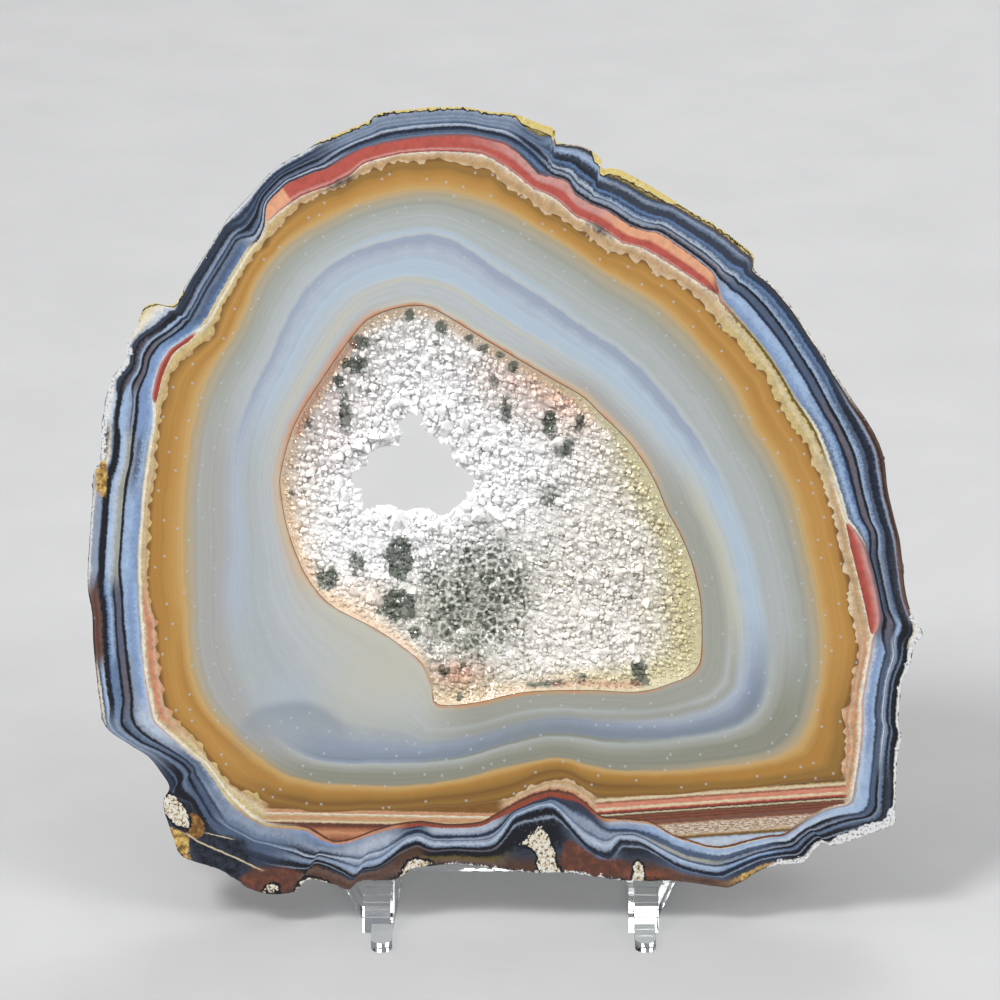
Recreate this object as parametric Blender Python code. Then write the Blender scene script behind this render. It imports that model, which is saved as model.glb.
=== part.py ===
"""Polished slab of Brazilian agate, leaning back on a small clear easel.

The slab is a slice through a banded nodule. Its cut faces are flat, and its rim is the
nodule's rough outside. The cavity in its middle is a shallow bowl, lined with a crust of
quartz crystals, and a small hole goes through the bottom of the bowl.

Lengths are in metres. Outline points are in millimetres on the slab's front face: across
to the right, and up from the line that rests on the easel.
"""

import math
import random

import bmesh
import bpy
import numpy as np
from mathutils import Vector, noise
from mathutils.geometry import delaunay_2d_cdt

MM = 0.001
SEED = 7

# Slab
SLAB_THICKNESS = 6.0 * MM
SLAB_LEAN = math.radians(20)
RIM_POINTS = 190
RIM_DEPTHS = (0.0, 0.05, 0.24, 0.42, 0.6, 0.78, 0.95, 1.0)
RIM_PIT = 1.7 * MM
RIM_LUMP_SIZE = 3.6 * MM
EDGE_CHAMFER = 0.25 * MM

# Cavity, its crust of crystals and the hole through it
HOLE_CENTRE = (-13.1, 59.9)
WALL_POINTS = 72
WALL_STEPS = (0.0, 0.04, 0.12, 0.3, 0.6, 1.0)
BOWL_DEPTH = 0.86
LIP = 2.6 * MM
LIP_BACK = 0.45 * MM
CRUST_EDGE_DEPTH = 0.45 * MM
CRUST_BOWL_DEPTH = 3.6 * MM
CRUST_HOLE_DEPTH = 4.9 * MM
CRYSTAL_PITCH = 2.7 * MM
CRYSTAL_HEIGHT = 1.5 * MM
CRYSTAL_CLEAR_OF_FACE = 0.12 * MM

# Easel
GAP = 0.3 * MM
STAND_CENTRE_X = 0.95 * MM
LEG_SPACING = 37.9 * MM
LEG_WIDTH = 4.3 * MM
SEAT_HEIGHT = 6.0 * MM
FOOT_FRONT = -2.9 * MM
TOE_TIP = -9.4 * MM
TOE_WIDTH = 3.0 * MM
TOE_HEIGHT = 1.4 * MM
TOE_SHIFT = {"left": 0.64 * MM, "right": 0.14 * MM}
STEPS = 5
UPRIGHT_LENGTH = 46.0 * MM
UPRIGHT_THICKNESS = 1.7 * MM
RAIL_HEIGHT = 1.8 * MM
RAIL_THICKNESS = 1.1 * MM
RAIL_END_Y = 38.0 * MM
OUTER_SPLAY = {"left": math.radians(15.0), "right": math.radians(13.0)}
INNER_SPLAY = {"left": math.radians(3.0), "right": math.radians(0.0)}
STRUT_TOP = 31.0 * MM
STRUT_WIDTH = 2.0 * MM
STRUT_DEPTH = 2.6 * MM
MOULDED_EDGE = 0.12 * MM
CROSSBAR_Y = 18.2 * MM
CROSSBAR_THICKNESS = 1.4 * MM
CROSSBAR_HEIGHT = 5.2 * MM
CROSSBAR_OVERHANG = 1.2 * MM

RIM_OUTLINE = (
    (-17.7, 110.4), (-11.6, 111.1), (-6.0, 111.3), (-2.3, 110.6), (1.4, 110.3),
    (4.6, 109.1), (7.3, 108.0), (7.0, 106.6), (8.6, 106.0), (11.4, 105.6),
    (13.9, 103.9), (14.1, 102.4), (16.3, 102.4), (19.4, 100.9), (23.1, 98.7),
    (26.9, 96.3), (30.9, 94.0), (34.4, 91.3), (35.9, 89.9), (36.0, 87.9),
    (38.7, 85.6), (41.7, 82.0), (44.3, 78.0), (49.6, 69.9), (51.9, 66.6),
    (53.6, 63.6), (54.6, 60.7), (55.1, 56.4), (56.0, 52.4), (56.9, 48.6),
    (57.6, 42.0), (58.6, 38.4), (60.1, 35.7), (58.9, 34.0), (58.3, 31.4),
    (57.0, 28.1), (56.6, 22.9), (57.0, 20.9), (56.4, 17.6), (56.1, 11.0),
    (55.9, 8.4), (52.6, 7.1), (50.0, 6.1), (47.0, 5.3), (45.9, 5.7),
    (44.4, 4.6), (43.1, 3.0), (40.1, 2.6), (37.6, 2.1), (35.3, 0.9),
    (32.6, -0.6), (30.7, -0.6), (24.7, 0.2), (20.3, 0.2), (17.2, 0.2),
    (13.7, 0.7), (8.3, 1.4), (5.0, 1.3), (1.4, 1.6), (-3.7, 2.3),
    (-7.3, 2.6), (-10.6, 2.3), (-12.9, 2.0), (-15.0, 0.7), (-16.4, 0.3),
    (-20.6, 0.2), (-22.3, -1.1), (-24.1, -0.4), (-28.1, 0.4), (-30.0, -1.3),
    (-33.3, -1.7), (-35.9, -1.1), (-37.9, 0.1), (-40.9, 1.9), (-44.4, 3.0),
    (-46.4, 4.0), (-47.4, 6.3), (-48.9, 11.3), (-48.0, 13.6), (-49.3, 15.9),
    (-51.1, 18.1), (-53.6, 19.7), (-57.1, 22.3), (-58.0, 26.0), (-58.9, 33.9),
    (-59.1, 38.6), (-59.7, 42.0), (-59.7, 45.7), (-59.1, 54.7), (-58.9, 58.4),
    (-57.9, 61.4), (-57.6, 66.4), (-56.4, 72.1), (-54.4, 74.6), (-54.1, 77.1),
    (-52.6, 79.9), (-51.7, 82.4), (-50.1, 83.1), (-47.3, 83.0), (-45.1, 86.7),
    (-42.0, 91.6), (-39.6, 95.3), (-36.4, 98.7), (-32.9, 102.4), (-28.7, 104.9),
    (-25.9, 106.6), (-20.0, 109.0),
)

CAVITY_OUTLINE = (
    (-11.9, 82.7), (-9.0, 81.7), (-3.1, 78.1), (2.3, 74.9), (7.1, 72.1),
    (11.3, 69.7), (14.0, 67.1), (17.6, 63.6), (20.3, 59.9), (22.1, 56.6),
    (23.3, 53.6), (25.1, 50.3), (26.6, 46.9), (27.6, 43.4), (28.3, 39.1),
    (28.3, 32.6), (27.4, 30.4), (25.4, 29.1), (19.6, 27.4), (11.9, 27.6),
    (3.1, 27.3), (-3.4, 25.9), (-8.0, 25.4), (-9.9, 25.9), (-10.4, 28.0),
    (-11.4, 31.0), (-13.4, 33.0), (-18.4, 36.4), (-24.6, 39.7), (-28.3, 44.0),
    (-30.9, 50.4), (-31.9, 55.7), (-31.9, 59.0), (-29.9, 65.7), (-25.4, 73.1),
    (-20.9, 79.3), (-18.4, 81.3), (-15.1, 82.4),
)

HOLE_OUTLINE = (
    (-13.7, 67.4), (-12.4, 67.6), (-11.4, 66.7), (-11.5, 65.1), (-10.3, 64.2),
    (-9.3, 63.4), (-7.7, 62.8), (-7.5, 61.2), (-6.7, 60.1), (-5.6, 59.2),
    (-4.0, 57.9), (-4.6, 56.3), (-5.4, 55.0), (-6.7, 54.0), (-8.2, 52.8),
    (-9.5, 52.7), (-10.8, 53.5), (-12.6, 53.7), (-14.6, 53.2), (-16.5, 54.2),
    (-18.7, 53.5), (-20.4, 53.3), (-20.3, 54.6), (-21.1, 56.0), (-21.8, 57.2),
    (-21.7, 59.0), (-20.4, 59.4), (-19.6, 60.3), (-19.5, 61.6), (-18.1, 62.4),
    (-16.5, 62.6), (-15.2, 62.9), (-14.9, 64.0), (-15.4, 65.6), (-14.5, 66.6),
)


def clear_scene():
    for obj in list(bpy.data.objects):
        bpy.data.objects.remove(obj, do_unlink=True)


def make_material(name, color, roughness, transmission=0.0, ior=1.5):
    material = bpy.data.materials.new(name)
    material.use_nodes = True
    shader = material.node_tree.nodes["Principled BSDF"]
    shader.inputs["Base Color"].default_value = (*color, 1.0)
    shader.inputs["Roughness"].default_value = roughness
    shader.inputs["Metallic"].default_value = 0.0
    shader.inputs["Transmission Weight"].default_value = transmission
    shader.inputs["IOR"].default_value = ior
    return material


def add_object(name, mesh_builder, material=None):
    """Makes a named object from a filled bmesh, with its faces turned outwards."""
    bmesh.ops.recalc_face_normals(mesh_builder, faces=mesh_builder.faces)
    mesh = bpy.data.meshes.new(name)
    mesh_builder.to_mesh(mesh)
    mesh_builder.free()
    obj = bpy.data.objects.new(name, mesh)
    bpy.context.scene.collection.objects.link(obj)
    if material:
        mesh.materials.append(material)
    return obj


def curve_through(points, samples=8):
    """Closed Catmull-Rom curve through outline points, in metres."""
    corners = np.array(points) * MM
    before = np.roll(corners, 1, axis=0)
    after = np.roll(corners, -1, axis=0)
    beyond = np.roll(corners, -2, axis=0)
    pieces = []
    for t in np.linspace(0.0, 1.0, samples, endpoint=False):
        pieces.append(
            0.5 * (2.0 * corners + (after - before) * t
                   + (2.0 * before - 5.0 * corners + 4.0 * after - beyond) * t ** 2
                   + (3.0 * corners - before - 3.0 * after + beyond) * t ** 3)
        )
    return np.stack(pieces, axis=1).reshape(-1, 2)


def evenly_spaced(loop, count):
    """Points at equal steps along a closed loop."""
    closed = np.vstack([loop, loop[:1]])
    lengths = np.hypot(*np.diff(closed, axis=0).T)
    along = np.concatenate([[0.0], np.cumsum(lengths)])
    places = np.linspace(0.0, along[-1], count, endpoint=False)
    return np.column_stack([np.interp(places, along, closed[:, k]) for k in (0, 1)])


def inward_normals(loop):
    """Unit normals that point into a loop that runs clockwise."""
    along = np.roll(loop, -1, axis=0) - np.roll(loop, 1, axis=0)
    normals = np.column_stack([along[:, 1], -along[:, 0]])
    return normals / np.hypot(*normals.T)[:, None]


def angles_and_radii(loop):
    """Direction and distance of a loop's points from the middle of the hole."""
    offset = loop - np.array(HOLE_CENTRE) * MM
    return np.arctan2(offset[:, 1], offset[:, 0]), np.hypot(*offset.T)


def radius_at(loop, angles):
    """Distance from the middle of the hole to a loop, in the given directions."""
    loop_angles, radii = angles_and_radii(loop)
    order = np.argsort(loop_angles)
    return np.interp(angles, loop_angles[order], radii[order], period=2.0 * math.pi)


def polar_point(angle, radius):
    x = HOLE_CENTRE[0] * MM + radius * math.cos(angle)
    y = HOLE_CENTRE[1] * MM + radius * math.sin(angle)
    return x, y


class Cavity:
    """The outlines of the bowl, of the opening in its back and of the hole in the crust."""

    def __init__(self):
        cavity = evenly_spaced(curve_through(CAVITY_OUTLINE), WALL_POINTS)
        hole = curve_through(HOLE_OUTLINE)
        self.angles, self.cavity_radii = angles_and_radii(cavity)
        self.hole_radii = radius_at(hole, self.angles)
        reach = range(-4, 5)
        smooth = sum(np.roll(self.hole_radii, k) for k in reach) / len(reach)
        self.opening_radii = np.maximum(smooth + LIP, self.hole_radii + 0.6 * LIP)

    def depth_share(self, angle, radius):
        """0 at the edge of the bowl, 1 at the opening in its back."""
        outer = np.interp(angle, *self.sorted_by_angle(self.cavity_radii), period=2 * math.pi)
        inner = np.interp(angle, *self.sorted_by_angle(self.opening_radii), period=2 * math.pi)
        return min(1.0, max(0.0, (outer - radius) / (outer - inner)))

    def radii_at(self, share):
        """Distances from the middle of the hole to the wall at a share of the way in."""
        return self.cavity_radii + (self.opening_radii - self.cavity_radii) * share

    def sorted_by_angle(self, radii):
        order = np.argsort(self.angles)
        return self.angles[order], radii[order]


def bowl_depth(share):
    """Depth of the agate wall under the front face."""
    return BOWL_DEPTH * SLAB_THICKNESS * math.sqrt(1.0 - (1.0 - share) ** 2)


def crust_depth(share):
    """Depth of the crust's front, between its crystals."""
    return CRUST_EDGE_DEPTH + CRUST_BOWL_DEPTH * (share * (2.0 - share)) ** 0.9


def ring(mesh_builder, points, depth):
    return [mesh_builder.verts.new((x, y, -depth)) for x, y in points]


def bridge(mesh_builder, first, second):
    """Joins two rings of the same length with a band of faces."""
    count = len(first)
    for k in range(count):
        after = (k + 1) % count
        mesh_builder.faces.new((first[k], first[after], second[after], second[k]))


def fill_between(mesh_builder, outer, inner, facing):
    """Fills the flat face between two rings."""
    edges = []
    for loop in (outer, inner):
        for k, vert in enumerate(loop):
            edge = mesh_builder.edges.get((vert, loop[(k + 1) % len(loop)]))
            edges.append(edge)
    bmesh.ops.triangle_fill(
        mesh_builder, use_beauty=True, use_dissolve=False, edges=edges, normal=facing
    )


def rim_ring(outline, normals, share):
    """The rim at one depth: lumps of the rough rind with sharp pits between them."""
    points = []
    middle = math.sin(math.pi * share) ** 0.7
    for (x, y), normal in zip(outline, normals):
        place = Vector((x, y, 1.4 * share * SLAB_THICKNESS)) / RIM_LUMP_SIZE
        pit = 1.5 * abs(noise.noise(place)) + 0.9 * abs(noise.noise(place * 2.3))
        depth = RIM_PIT * min(1.0, pit) * middle
        if share in (0.0, 1.0):
            depth = EDGE_CHAMFER
        points.append((x + normal[0] * depth, y + normal[1] * depth))
    return points


def build_slab(cavity, frame, material):
    """The slice: two flat faces, the rough rim and the bowl with its opening."""
    outline = evenly_spaced(curve_through(RIM_OUTLINE), RIM_POINTS)
    normals = inward_normals(outline)
    builder = bmesh.new()
    rows = []
    for share in RIM_DEPTHS:
        points = rim_ring(outline, normals, share)
        rows.append(ring(builder, points, share * SLAB_THICKNESS))
    for first, second in zip(rows, rows[1:]):
        bridge(builder, first, second)
    walls = []
    for share in WALL_STEPS:
        points = [polar_point(a, r) for a, r in zip(cavity.angles, cavity.radii_at(share))]
        walls.append(ring(builder, points, bowl_depth(share)))
    walls.append(ring(builder, points, SLAB_THICKNESS))
    for first, second in zip(walls, walls[1:]):
        bridge(builder, first, second)
    fill_between(builder, rows[0], walls[0], (0.0, 0.0, 1.0))
    fill_between(builder, rows[-1], walls[-1], (0.0, 0.0, -1.0))
    bmesh.ops.triangulate(builder, faces=builder.faces)
    slab = add_object("agate_slab", builder, material)
    slab.parent = frame
    return slab


def crystal_seats(cavity, edge, hole):
    """Valleys between crystals: a jittered grid inside the bowl, clear of its two edges."""
    rng = random.Random(SEED)
    low = edge.min(axis=0)
    high = edge.max(axis=0)
    row_height = CRYSTAL_PITCH * math.sqrt(3) / 2
    margin = 0.45 * CRYSTAL_PITCH
    seats = []
    row = 0
    y = low[1]
    while y < high[1]:
        x = low[0] + (row % 2) * CRYSTAL_PITCH / 2
        while x < high[0]:
            px = x + rng.uniform(-0.24, 0.24) * CRYSTAL_PITCH
            py = y + rng.uniform(-0.24, 0.24) * CRYSTAL_PITCH
            point = np.array([px, py])
            outside_edge = not inside(point, edge)
            near_edge = np.min(np.hypot(*(edge - point).T)) < margin
            near_hole = np.min(np.hypot(*(hole - point).T)) < margin
            if not (outside_edge or near_edge or near_hole or inside(point, hole)):
                seats.append((px, py))
            x += CRYSTAL_PITCH
        y += row_height
        row += 1
    return seats


def inside(point, loop):
    """Even-odd test of a point against a closed loop."""
    x, y = point
    after = np.roll(loop, -1, axis=0)
    spans = (loop[:, 1] > y) != (after[:, 1] > y)
    run = (after[:, 0] - loop[:, 0])[spans]
    rise = (after[:, 1] - loop[:, 1])[spans]
    crossings = loop[spans, 0] + (y - loop[spans, 1]) * run / rise
    return bool(np.sum(crossings > x) % 2)


def raise_crystal(builder, face, rng, height, direction):
    """Turns a face into a three-sided crystal point."""
    corners = [v.co.copy() for v in face.verts]
    weights = [0.6 + rng.random() for _ in corners]
    total = sum(weights)
    apex = sum((c * w / total for c, w in zip(corners, weights)), Vector())
    apex.z += direction * height
    poked = bmesh.ops.poke(builder, faces=[face])
    poked["verts"][0].co = apex


def build_crust(cavity, frame, material):
    """The crust of crystals, 0.3 mm off the agate wall, with the hole in its lowest part."""
    rng = random.Random(SEED + 1)
    steepest = bowl_depth(WALL_STEPS[1]) / WALL_STEPS[1]
    edge_radii = cavity.radii_at(CRUST_EDGE_DEPTH / steepest) - GAP
    edge_points = np.array([polar_point(a, r) for a, r in zip(cavity.angles, edge_radii)])
    hole_points = np.array([
        polar_point(a, r) for a, r in zip(cavity.angles, cavity.hole_radii)
    ])
    seats = crystal_seats(cavity, edge_points, hole_points)
    plan = [Vector(p) for p in edge_points] + [Vector(p) for p in hole_points]
    loop_size = len(edge_points)
    loop_edges = []
    for start in (0, loop_size):
        for k in range(loop_size):
            loop_edges.append((start + k, start + (k + 1) % loop_size))
    plan += [Vector(p) for p in seats]
    places, _, triangles, origins, _, _ = delaunay_2d_cdt(plan, loop_edges, [], 0, 1e-7)

    builder = bmesh.new()
    verts = []
    loop_verts = [None] * (2 * loop_size)
    for place, origin in zip(places, origins):
        angle, radius = angles_and_radii(np.array([place]))
        share = cavity.depth_share(angle[0], radius[0])
        depth = crust_depth(share)
        first = origin[0] if origin else len(loop_verts)
        if first < loop_size:
            depth = CRUST_EDGE_DEPTH
        elif first < 2 * loop_size:
            depth = CRUST_HOLE_DEPTH
        vert = builder.verts.new((place.x, place.y, -depth))
        verts.append(vert)
        if first < 2 * loop_size:
            loop_verts[first] = vert
    front = []
    for corners in triangles:
        middle = sum((places[c] for c in corners), Vector((0.0, 0.0))) / 3
        if inside(middle, edge_points) and not inside(middle, hole_points):
            front.append(builder.faces.new([verts[c] for c in corners]))

    rows = [loop_verts[:loop_size]]
    for share in WALL_STEPS[1:]:
        radii = cavity.radii_at(share) - GAP
        points = [polar_point(a, r) for a, r in zip(cavity.angles, radii)]
        rows.append(ring(builder, points, bowl_depth(share) - GAP))
    rows.append(ring(builder, points, SLAB_THICKNESS - LIP_BACK))
    for first, second in zip(rows, rows[1:]):
        bridge(builder, first, second)
    faces_before = set(builder.faces)
    bridge(builder, rows[-1], loop_verts[loop_size:])
    lip = [face for face in builder.faces if face not in faces_before]

    for face in front:
        highest = max(v.co.z for v in face.verts)
        height = CRYSTAL_HEIGHT * rng.uniform(0.45, 1.0)
        room = -highest - CRYSTAL_CLEAR_OF_FACE
        raise_crystal(builder, face, rng, min(height, room + 0.15 * height), 1.0)
    for face in lip:
        raise_crystal(builder, face, rng, LIP_BACK * rng.uniform(0.2, 0.8), -1.0)
    bmesh.ops.triangulate(builder, faces=builder.faces)
    crust = add_object("druse_crust", builder, material)
    crust.parent = frame
    return crust


def on_slab_side(up, back):
    """A point in the easel's side view, from its place up the slab and behind its front."""
    y = up * math.sin(SLAB_LEAN) + back * math.cos(SLAB_LEAN)
    z = SEAT_HEIGHT + GAP + up * math.cos(SLAB_LEAN) - back * math.sin(SLAB_LEAN)
    return y, z


def prism(name, outline, low_x, high_x, material=None):
    """A side-view outline, in Y and Z, drawn out across X."""
    builder = bmesh.new()
    verts = [builder.verts.new((low_x, y, z)) for y, z in outline]
    face = builder.faces.new(verts)
    drawn = bmesh.ops.extrude_face_region(builder, geom=[face])
    moved = [item for item in drawn["geom"] if isinstance(item, bmesh.types.BMVert)]
    bmesh.ops.translate(builder, vec=(high_x - low_x, 0.0, 0.0), verts=moved)
    bmesh.ops.triangulate(builder, faces=builder.faces)
    return add_object(name, builder, material)


def bar(name, start, end, start_size, end_size, material=None):
    """A straight bar between two places, with a flat rectangle at each end."""
    builder = bmesh.new()
    ends = []
    for centre, (width, depth) in ((start, start_size), (end, end_size)):
        x, y, z = centre
        corners = ((-1, -1), (1, -1), (1, 1), (-1, 1))
        ends.append([
            builder.verts.new((x + a * width / 2, y + b * depth / 2, z)) for a, b in corners
        ])
    bridge(builder, ends[0], ends[1])
    builder.faces.new(ends[0])
    builder.faces.new(ends[1])
    return add_object(name, builder, material)


def upright_wall(name, plan, height, material=None, bottom=0.0):
    """A plan outline, in X and Y, raised straight up."""
    builder = bmesh.new()
    verts = [builder.verts.new((x, y, bottom)) for x, y in plan]
    face = builder.faces.new(verts)
    drawn = bmesh.ops.extrude_face_region(builder, geom=[face])
    moved = [item for item in drawn["geom"] if isinstance(item, bmesh.types.BMVert)]
    bmesh.ops.translate(builder, vec=(0.0, 0.0, height), verts=moved)
    bmesh.ops.triangulate(builder, faces=builder.faces)
    return add_object(name, builder, material)


def apply_boolean(target, tool, operation):
    """Adds or cuts with a guide object, which the finished model leaves out."""
    tool.hide_render = True
    tool.display_type = "WIRE"
    modifier = target.modifiers.new(operation.title(), "BOOLEAN")
    modifier.operation = operation
    modifier.solver = "EXACT"
    modifier.object = tool


def soften_edges(obj):
    """Takes the sharpness off moulded edges."""
    modifier = obj.modifiers.new("Softened", "BEVEL")
    modifier.width = MOULDED_EDGE
    modifier.segments = 1
    modifier.limit_method = "ANGLE"
    modifier.angle_limit = math.radians(40)


def foot_outline():
    """Side view of the stepped foot, the seat and the upright behind the slab."""
    outline = [(FOOT_FRONT, 0.0), (FOOT_FRONT, TOE_HEIGHT)]
    seat_front = on_slab_side(-GAP, 0.0)
    rise = (seat_front[1] - TOE_HEIGHT) / STEPS
    run = (seat_front[0] - FOOT_FRONT) / STEPS
    for k in range(STEPS):
        z = TOE_HEIGHT + (k + 1) * rise
        outline.append((FOOT_FRONT + k * run, z))
        outline.append((FOOT_FRONT + (k + 0.75) * run, z))
    behind = SLAB_THICKNESS + GAP
    outline[-1] = seat_front
    outline.append(on_slab_side(-GAP, behind))
    outline.append(on_slab_side(UPRIGHT_LENGTH, behind))
    outline.append(on_slab_side(UPRIGHT_LENGTH, behind + UPRIGHT_THICKNESS * 0.8))
    outline.append(on_slab_side(2.0 * MM, behind + UPRIGHT_THICKNESS * 1.3))
    outline.append((on_slab_side(0.0, behind + UPRIGHT_THICKNESS * 1.6)[0], 0.0))
    return outline


def rail_plan(start_x, splay, side, end_y):
    """Plan of a low rail that runs back from the foot."""
    turn = math.tan(splay)
    run = end_y - FOOT_FRONT
    inner_start = start_x - side * RAIL_THICKNESS
    return (
        (start_x, FOOT_FRONT),
        (start_x + side * turn * run, end_y),
        (inner_start + side * turn * run, end_y),
        (inner_start, FOOT_FRONT),
    )


def toe_plan(centre_x, shift):
    """Plan of the toe, with its rounded tip."""
    radius = TOE_WIDTH / 2
    plan = [(centre_x + shift + radius, FOOT_FRONT + 0.6 * MM)]
    plan.append((centre_x + shift - radius, FOOT_FRONT + 0.6 * MM))
    for k in range(9):
        angle = math.pi * (1.0 + k / 8)
        x = centre_x + shift + radius * math.cos(angle)
        plan.append((x, TOE_TIP + radius + radius * math.sin(angle)))
    return plan


def rails_of(side_name):
    """The outer and inner rail of a leg: where each starts, its splay, side and end."""
    side = -1.0 if side_name == "left" else 1.0
    centre = STAND_CENTRE_X + side * LEG_SPACING / 2
    outer_start = centre + side * (LEG_WIDTH / 2 - 1.0 * MM)
    inner_start = centre - side * LEG_WIDTH / 2
    inner_end = CROSSBAR_Y + CROSSBAR_THICKNESS + 1.2 * MM
    return (
        (outer_start, OUTER_SPLAY[side_name], side, RAIL_END_Y),
        (inner_start, INNER_SPLAY[side_name], -side, inner_end),
    )


def build_leg(side_name, material):
    """One side of the easel: foot with steps, toe, seat, upright, rails and rear strut."""
    side = -1.0 if side_name == "left" else 1.0
    centre = STAND_CENTRE_X + side * LEG_SPACING / 2
    name = "stand_" + side_name + "_leg"
    leg = prism(name, foot_outline(), centre - LEG_WIDTH / 2, centre + LEG_WIDTH / 2, material)
    toe = upright_wall(name + "_toe", toe_plan(centre, TOE_SHIFT[side_name]), TOE_HEIGHT)
    apply_boolean(leg, toe, "UNION")
    rails = rails_of(side_name)
    for label, (start_x, splay, outward, end_y) in zip(("outer", "inner"), rails):
        plan = rail_plan(start_x, splay, outward, end_y)
        rail = upright_wall(name + "_" + label + "_rail", plan, RAIL_HEIGHT)
        apply_boolean(leg, rail, "UNION")
    behind = SLAB_THICKNESS + GAP + UPRIGHT_THICKNESS * 0.6
    top_y, top_z = on_slab_side(STRUT_TOP, behind)
    start_x, splay, outward, end_y = rails[0]
    foot_x = start_x + outward * math.tan(splay) * (end_y - FOOT_FRONT)
    foot_x -= outward * RAIL_THICKNESS / 2
    strut = bar(
        name + "_strut",
        (centre, top_y, top_z),
        (foot_x, end_y - STRUT_DEPTH / 2 + 0.3 * MM, 0.0),
        (STRUT_WIDTH, UPRIGHT_THICKNESS),
        (STRUT_WIDTH, STRUT_DEPTH),
    )
    apply_boolean(leg, strut, "UNION")
    soften_edges(leg)
    return leg


def rail_x_at(rail, y):
    """The middle of a rail at a place along it."""
    start_x, splay, outward, _ = rail
    edge = start_x + outward * math.tan(splay) * (y - FOOT_FRONT)
    return edge - outward * RAIL_THICKNESS / 2


def build_crossbar(material):
    """The bar that ties the two legs: it stands on edge and drops over their rails."""
    middle_y = CROSSBAR_Y + CROSSBAR_THICKNESS / 2
    left_rails = rails_of("left")
    right_rails = rails_of("right")
    low_x = rail_x_at(left_rails[0], middle_y) - RAIL_THICKNESS / 2 - CROSSBAR_OVERHANG
    high_x = rail_x_at(right_rails[0], middle_y) + RAIL_THICKNESS / 2 + CROSSBAR_OVERHANG
    notch_top = RAIL_HEIGHT + GAP
    outline = [(low_x, 0.0)]
    for rail in sorted(left_rails + right_rails, key=lambda r: rail_x_at(r, middle_y)):
        slant = math.tan(rail[1]) * CROSSBAR_THICKNESS
        half = RAIL_THICKNESS / 2 + slant / 2 + GAP
        x = rail_x_at(rail, middle_y)
        outline += [(x - half, 0.0), (x - half, notch_top), (x + half, notch_top), (x + half, 0.0)]
    outline += [(high_x, 0.0), (high_x, CROSSBAR_HEIGHT), (low_x, CROSSBAR_HEIGHT)]
    builder = bmesh.new()
    verts = [builder.verts.new((x, CROSSBAR_Y, z)) for x, z in outline]
    face = builder.faces.new(verts)
    drawn = bmesh.ops.extrude_face_region(builder, geom=[face])
    moved = [item for item in drawn["geom"] if isinstance(item, bmesh.types.BMVert)]
    bmesh.ops.translate(builder, vec=(0.0, CROSSBAR_THICKNESS, 0.0), verts=moved)
    bmesh.ops.triangulate(builder, faces=builder.faces)
    return add_object("stand_crossbar", builder, material)


def stand_on_origin(root, pieces):
    """Moves the whole object so that the middle of its underside is the origin."""
    bpy.context.view_layer.update()
    graph = bpy.context.evaluated_depsgraph_get()
    corners = []
    for piece in pieces:
        evaluated = piece.evaluated_get(graph)
        corners += [evaluated.matrix_world @ v.co for v in evaluated.data.vertices]
    cloud = np.array(corners)
    low = cloud.min(axis=0)
    high = cloud.max(axis=0)
    root.location = (-(low[0] + high[0]) / 2, -(low[1] + high[1]) / 2, -low[2])


def main():
    clear_scene()
    agate = make_material("agate", (0.55, 0.45, 0.30), 0.08)
    quartz = make_material("quartz_druse", (0.80, 0.80, 0.78), 0.15)
    acrylic = make_material("clear_acrylic", (0.95, 0.97, 0.98), 0.04, 1.0, 1.49)

    root = bpy.data.objects.new("brazilian_agate", None)
    bpy.context.scene.collection.objects.link(root)
    frame = bpy.data.objects.new("slab_frame", None)
    bpy.context.scene.collection.objects.link(frame)
    frame.parent = root
    frame.location = (0.0, 0.0, SEAT_HEIGHT + GAP)
    frame.rotation_euler = (math.pi / 2 - SLAB_LEAN, 0.0, 0.0)

    cavity = Cavity()
    pieces = [
        build_slab(cavity, frame, agate),
        build_crust(cavity, frame, quartz),
        build_leg("left", acrylic),
        build_leg("right", acrylic),
        build_crossbar(acrylic),
    ]
    for obj in bpy.data.objects:
        if obj.type == "MESH" and obj.parent is None:
            obj.parent = root
    stand_on_origin(root, pieces)


main()
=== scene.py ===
"""Looks of a polished slab of Brazilian agate on a small clear easel.

Places on the slab are in millimetres on its front face: u to the right, v up from the line
that rests on the easel, w back from the front face. Pieces are made in those coordinates and
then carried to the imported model's frame, in metres.
"""

import math
import random

import bmesh
import bpy
import numpy as np
from mathutils import Matrix, Vector, noise


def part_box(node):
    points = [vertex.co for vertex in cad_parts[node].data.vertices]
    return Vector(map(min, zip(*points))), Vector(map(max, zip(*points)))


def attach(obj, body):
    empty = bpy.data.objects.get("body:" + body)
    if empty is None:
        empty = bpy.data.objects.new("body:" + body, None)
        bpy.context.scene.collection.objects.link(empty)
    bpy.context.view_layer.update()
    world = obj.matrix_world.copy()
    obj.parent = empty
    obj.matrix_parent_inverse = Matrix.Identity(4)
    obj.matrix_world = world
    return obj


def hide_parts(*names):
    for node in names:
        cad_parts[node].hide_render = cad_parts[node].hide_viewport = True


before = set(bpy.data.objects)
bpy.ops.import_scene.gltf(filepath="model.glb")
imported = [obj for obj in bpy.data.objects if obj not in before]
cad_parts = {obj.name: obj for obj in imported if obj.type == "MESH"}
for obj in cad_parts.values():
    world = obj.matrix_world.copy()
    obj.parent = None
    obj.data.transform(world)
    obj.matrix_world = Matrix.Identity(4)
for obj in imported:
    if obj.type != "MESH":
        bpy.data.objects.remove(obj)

MM = 0.001
SEED = 11
FULL_TURN = 2.0 * math.pi
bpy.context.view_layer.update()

# Driving dimensions that the slab and the easel share with the solids, in mm
SLAB_THICKNESS = 6.0
SLAB_LEAN = math.radians(20)
SEAT_TOP = 6.3
TOE_TIP = -9.4
EDGE_CHAMFER = 0.25
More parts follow.
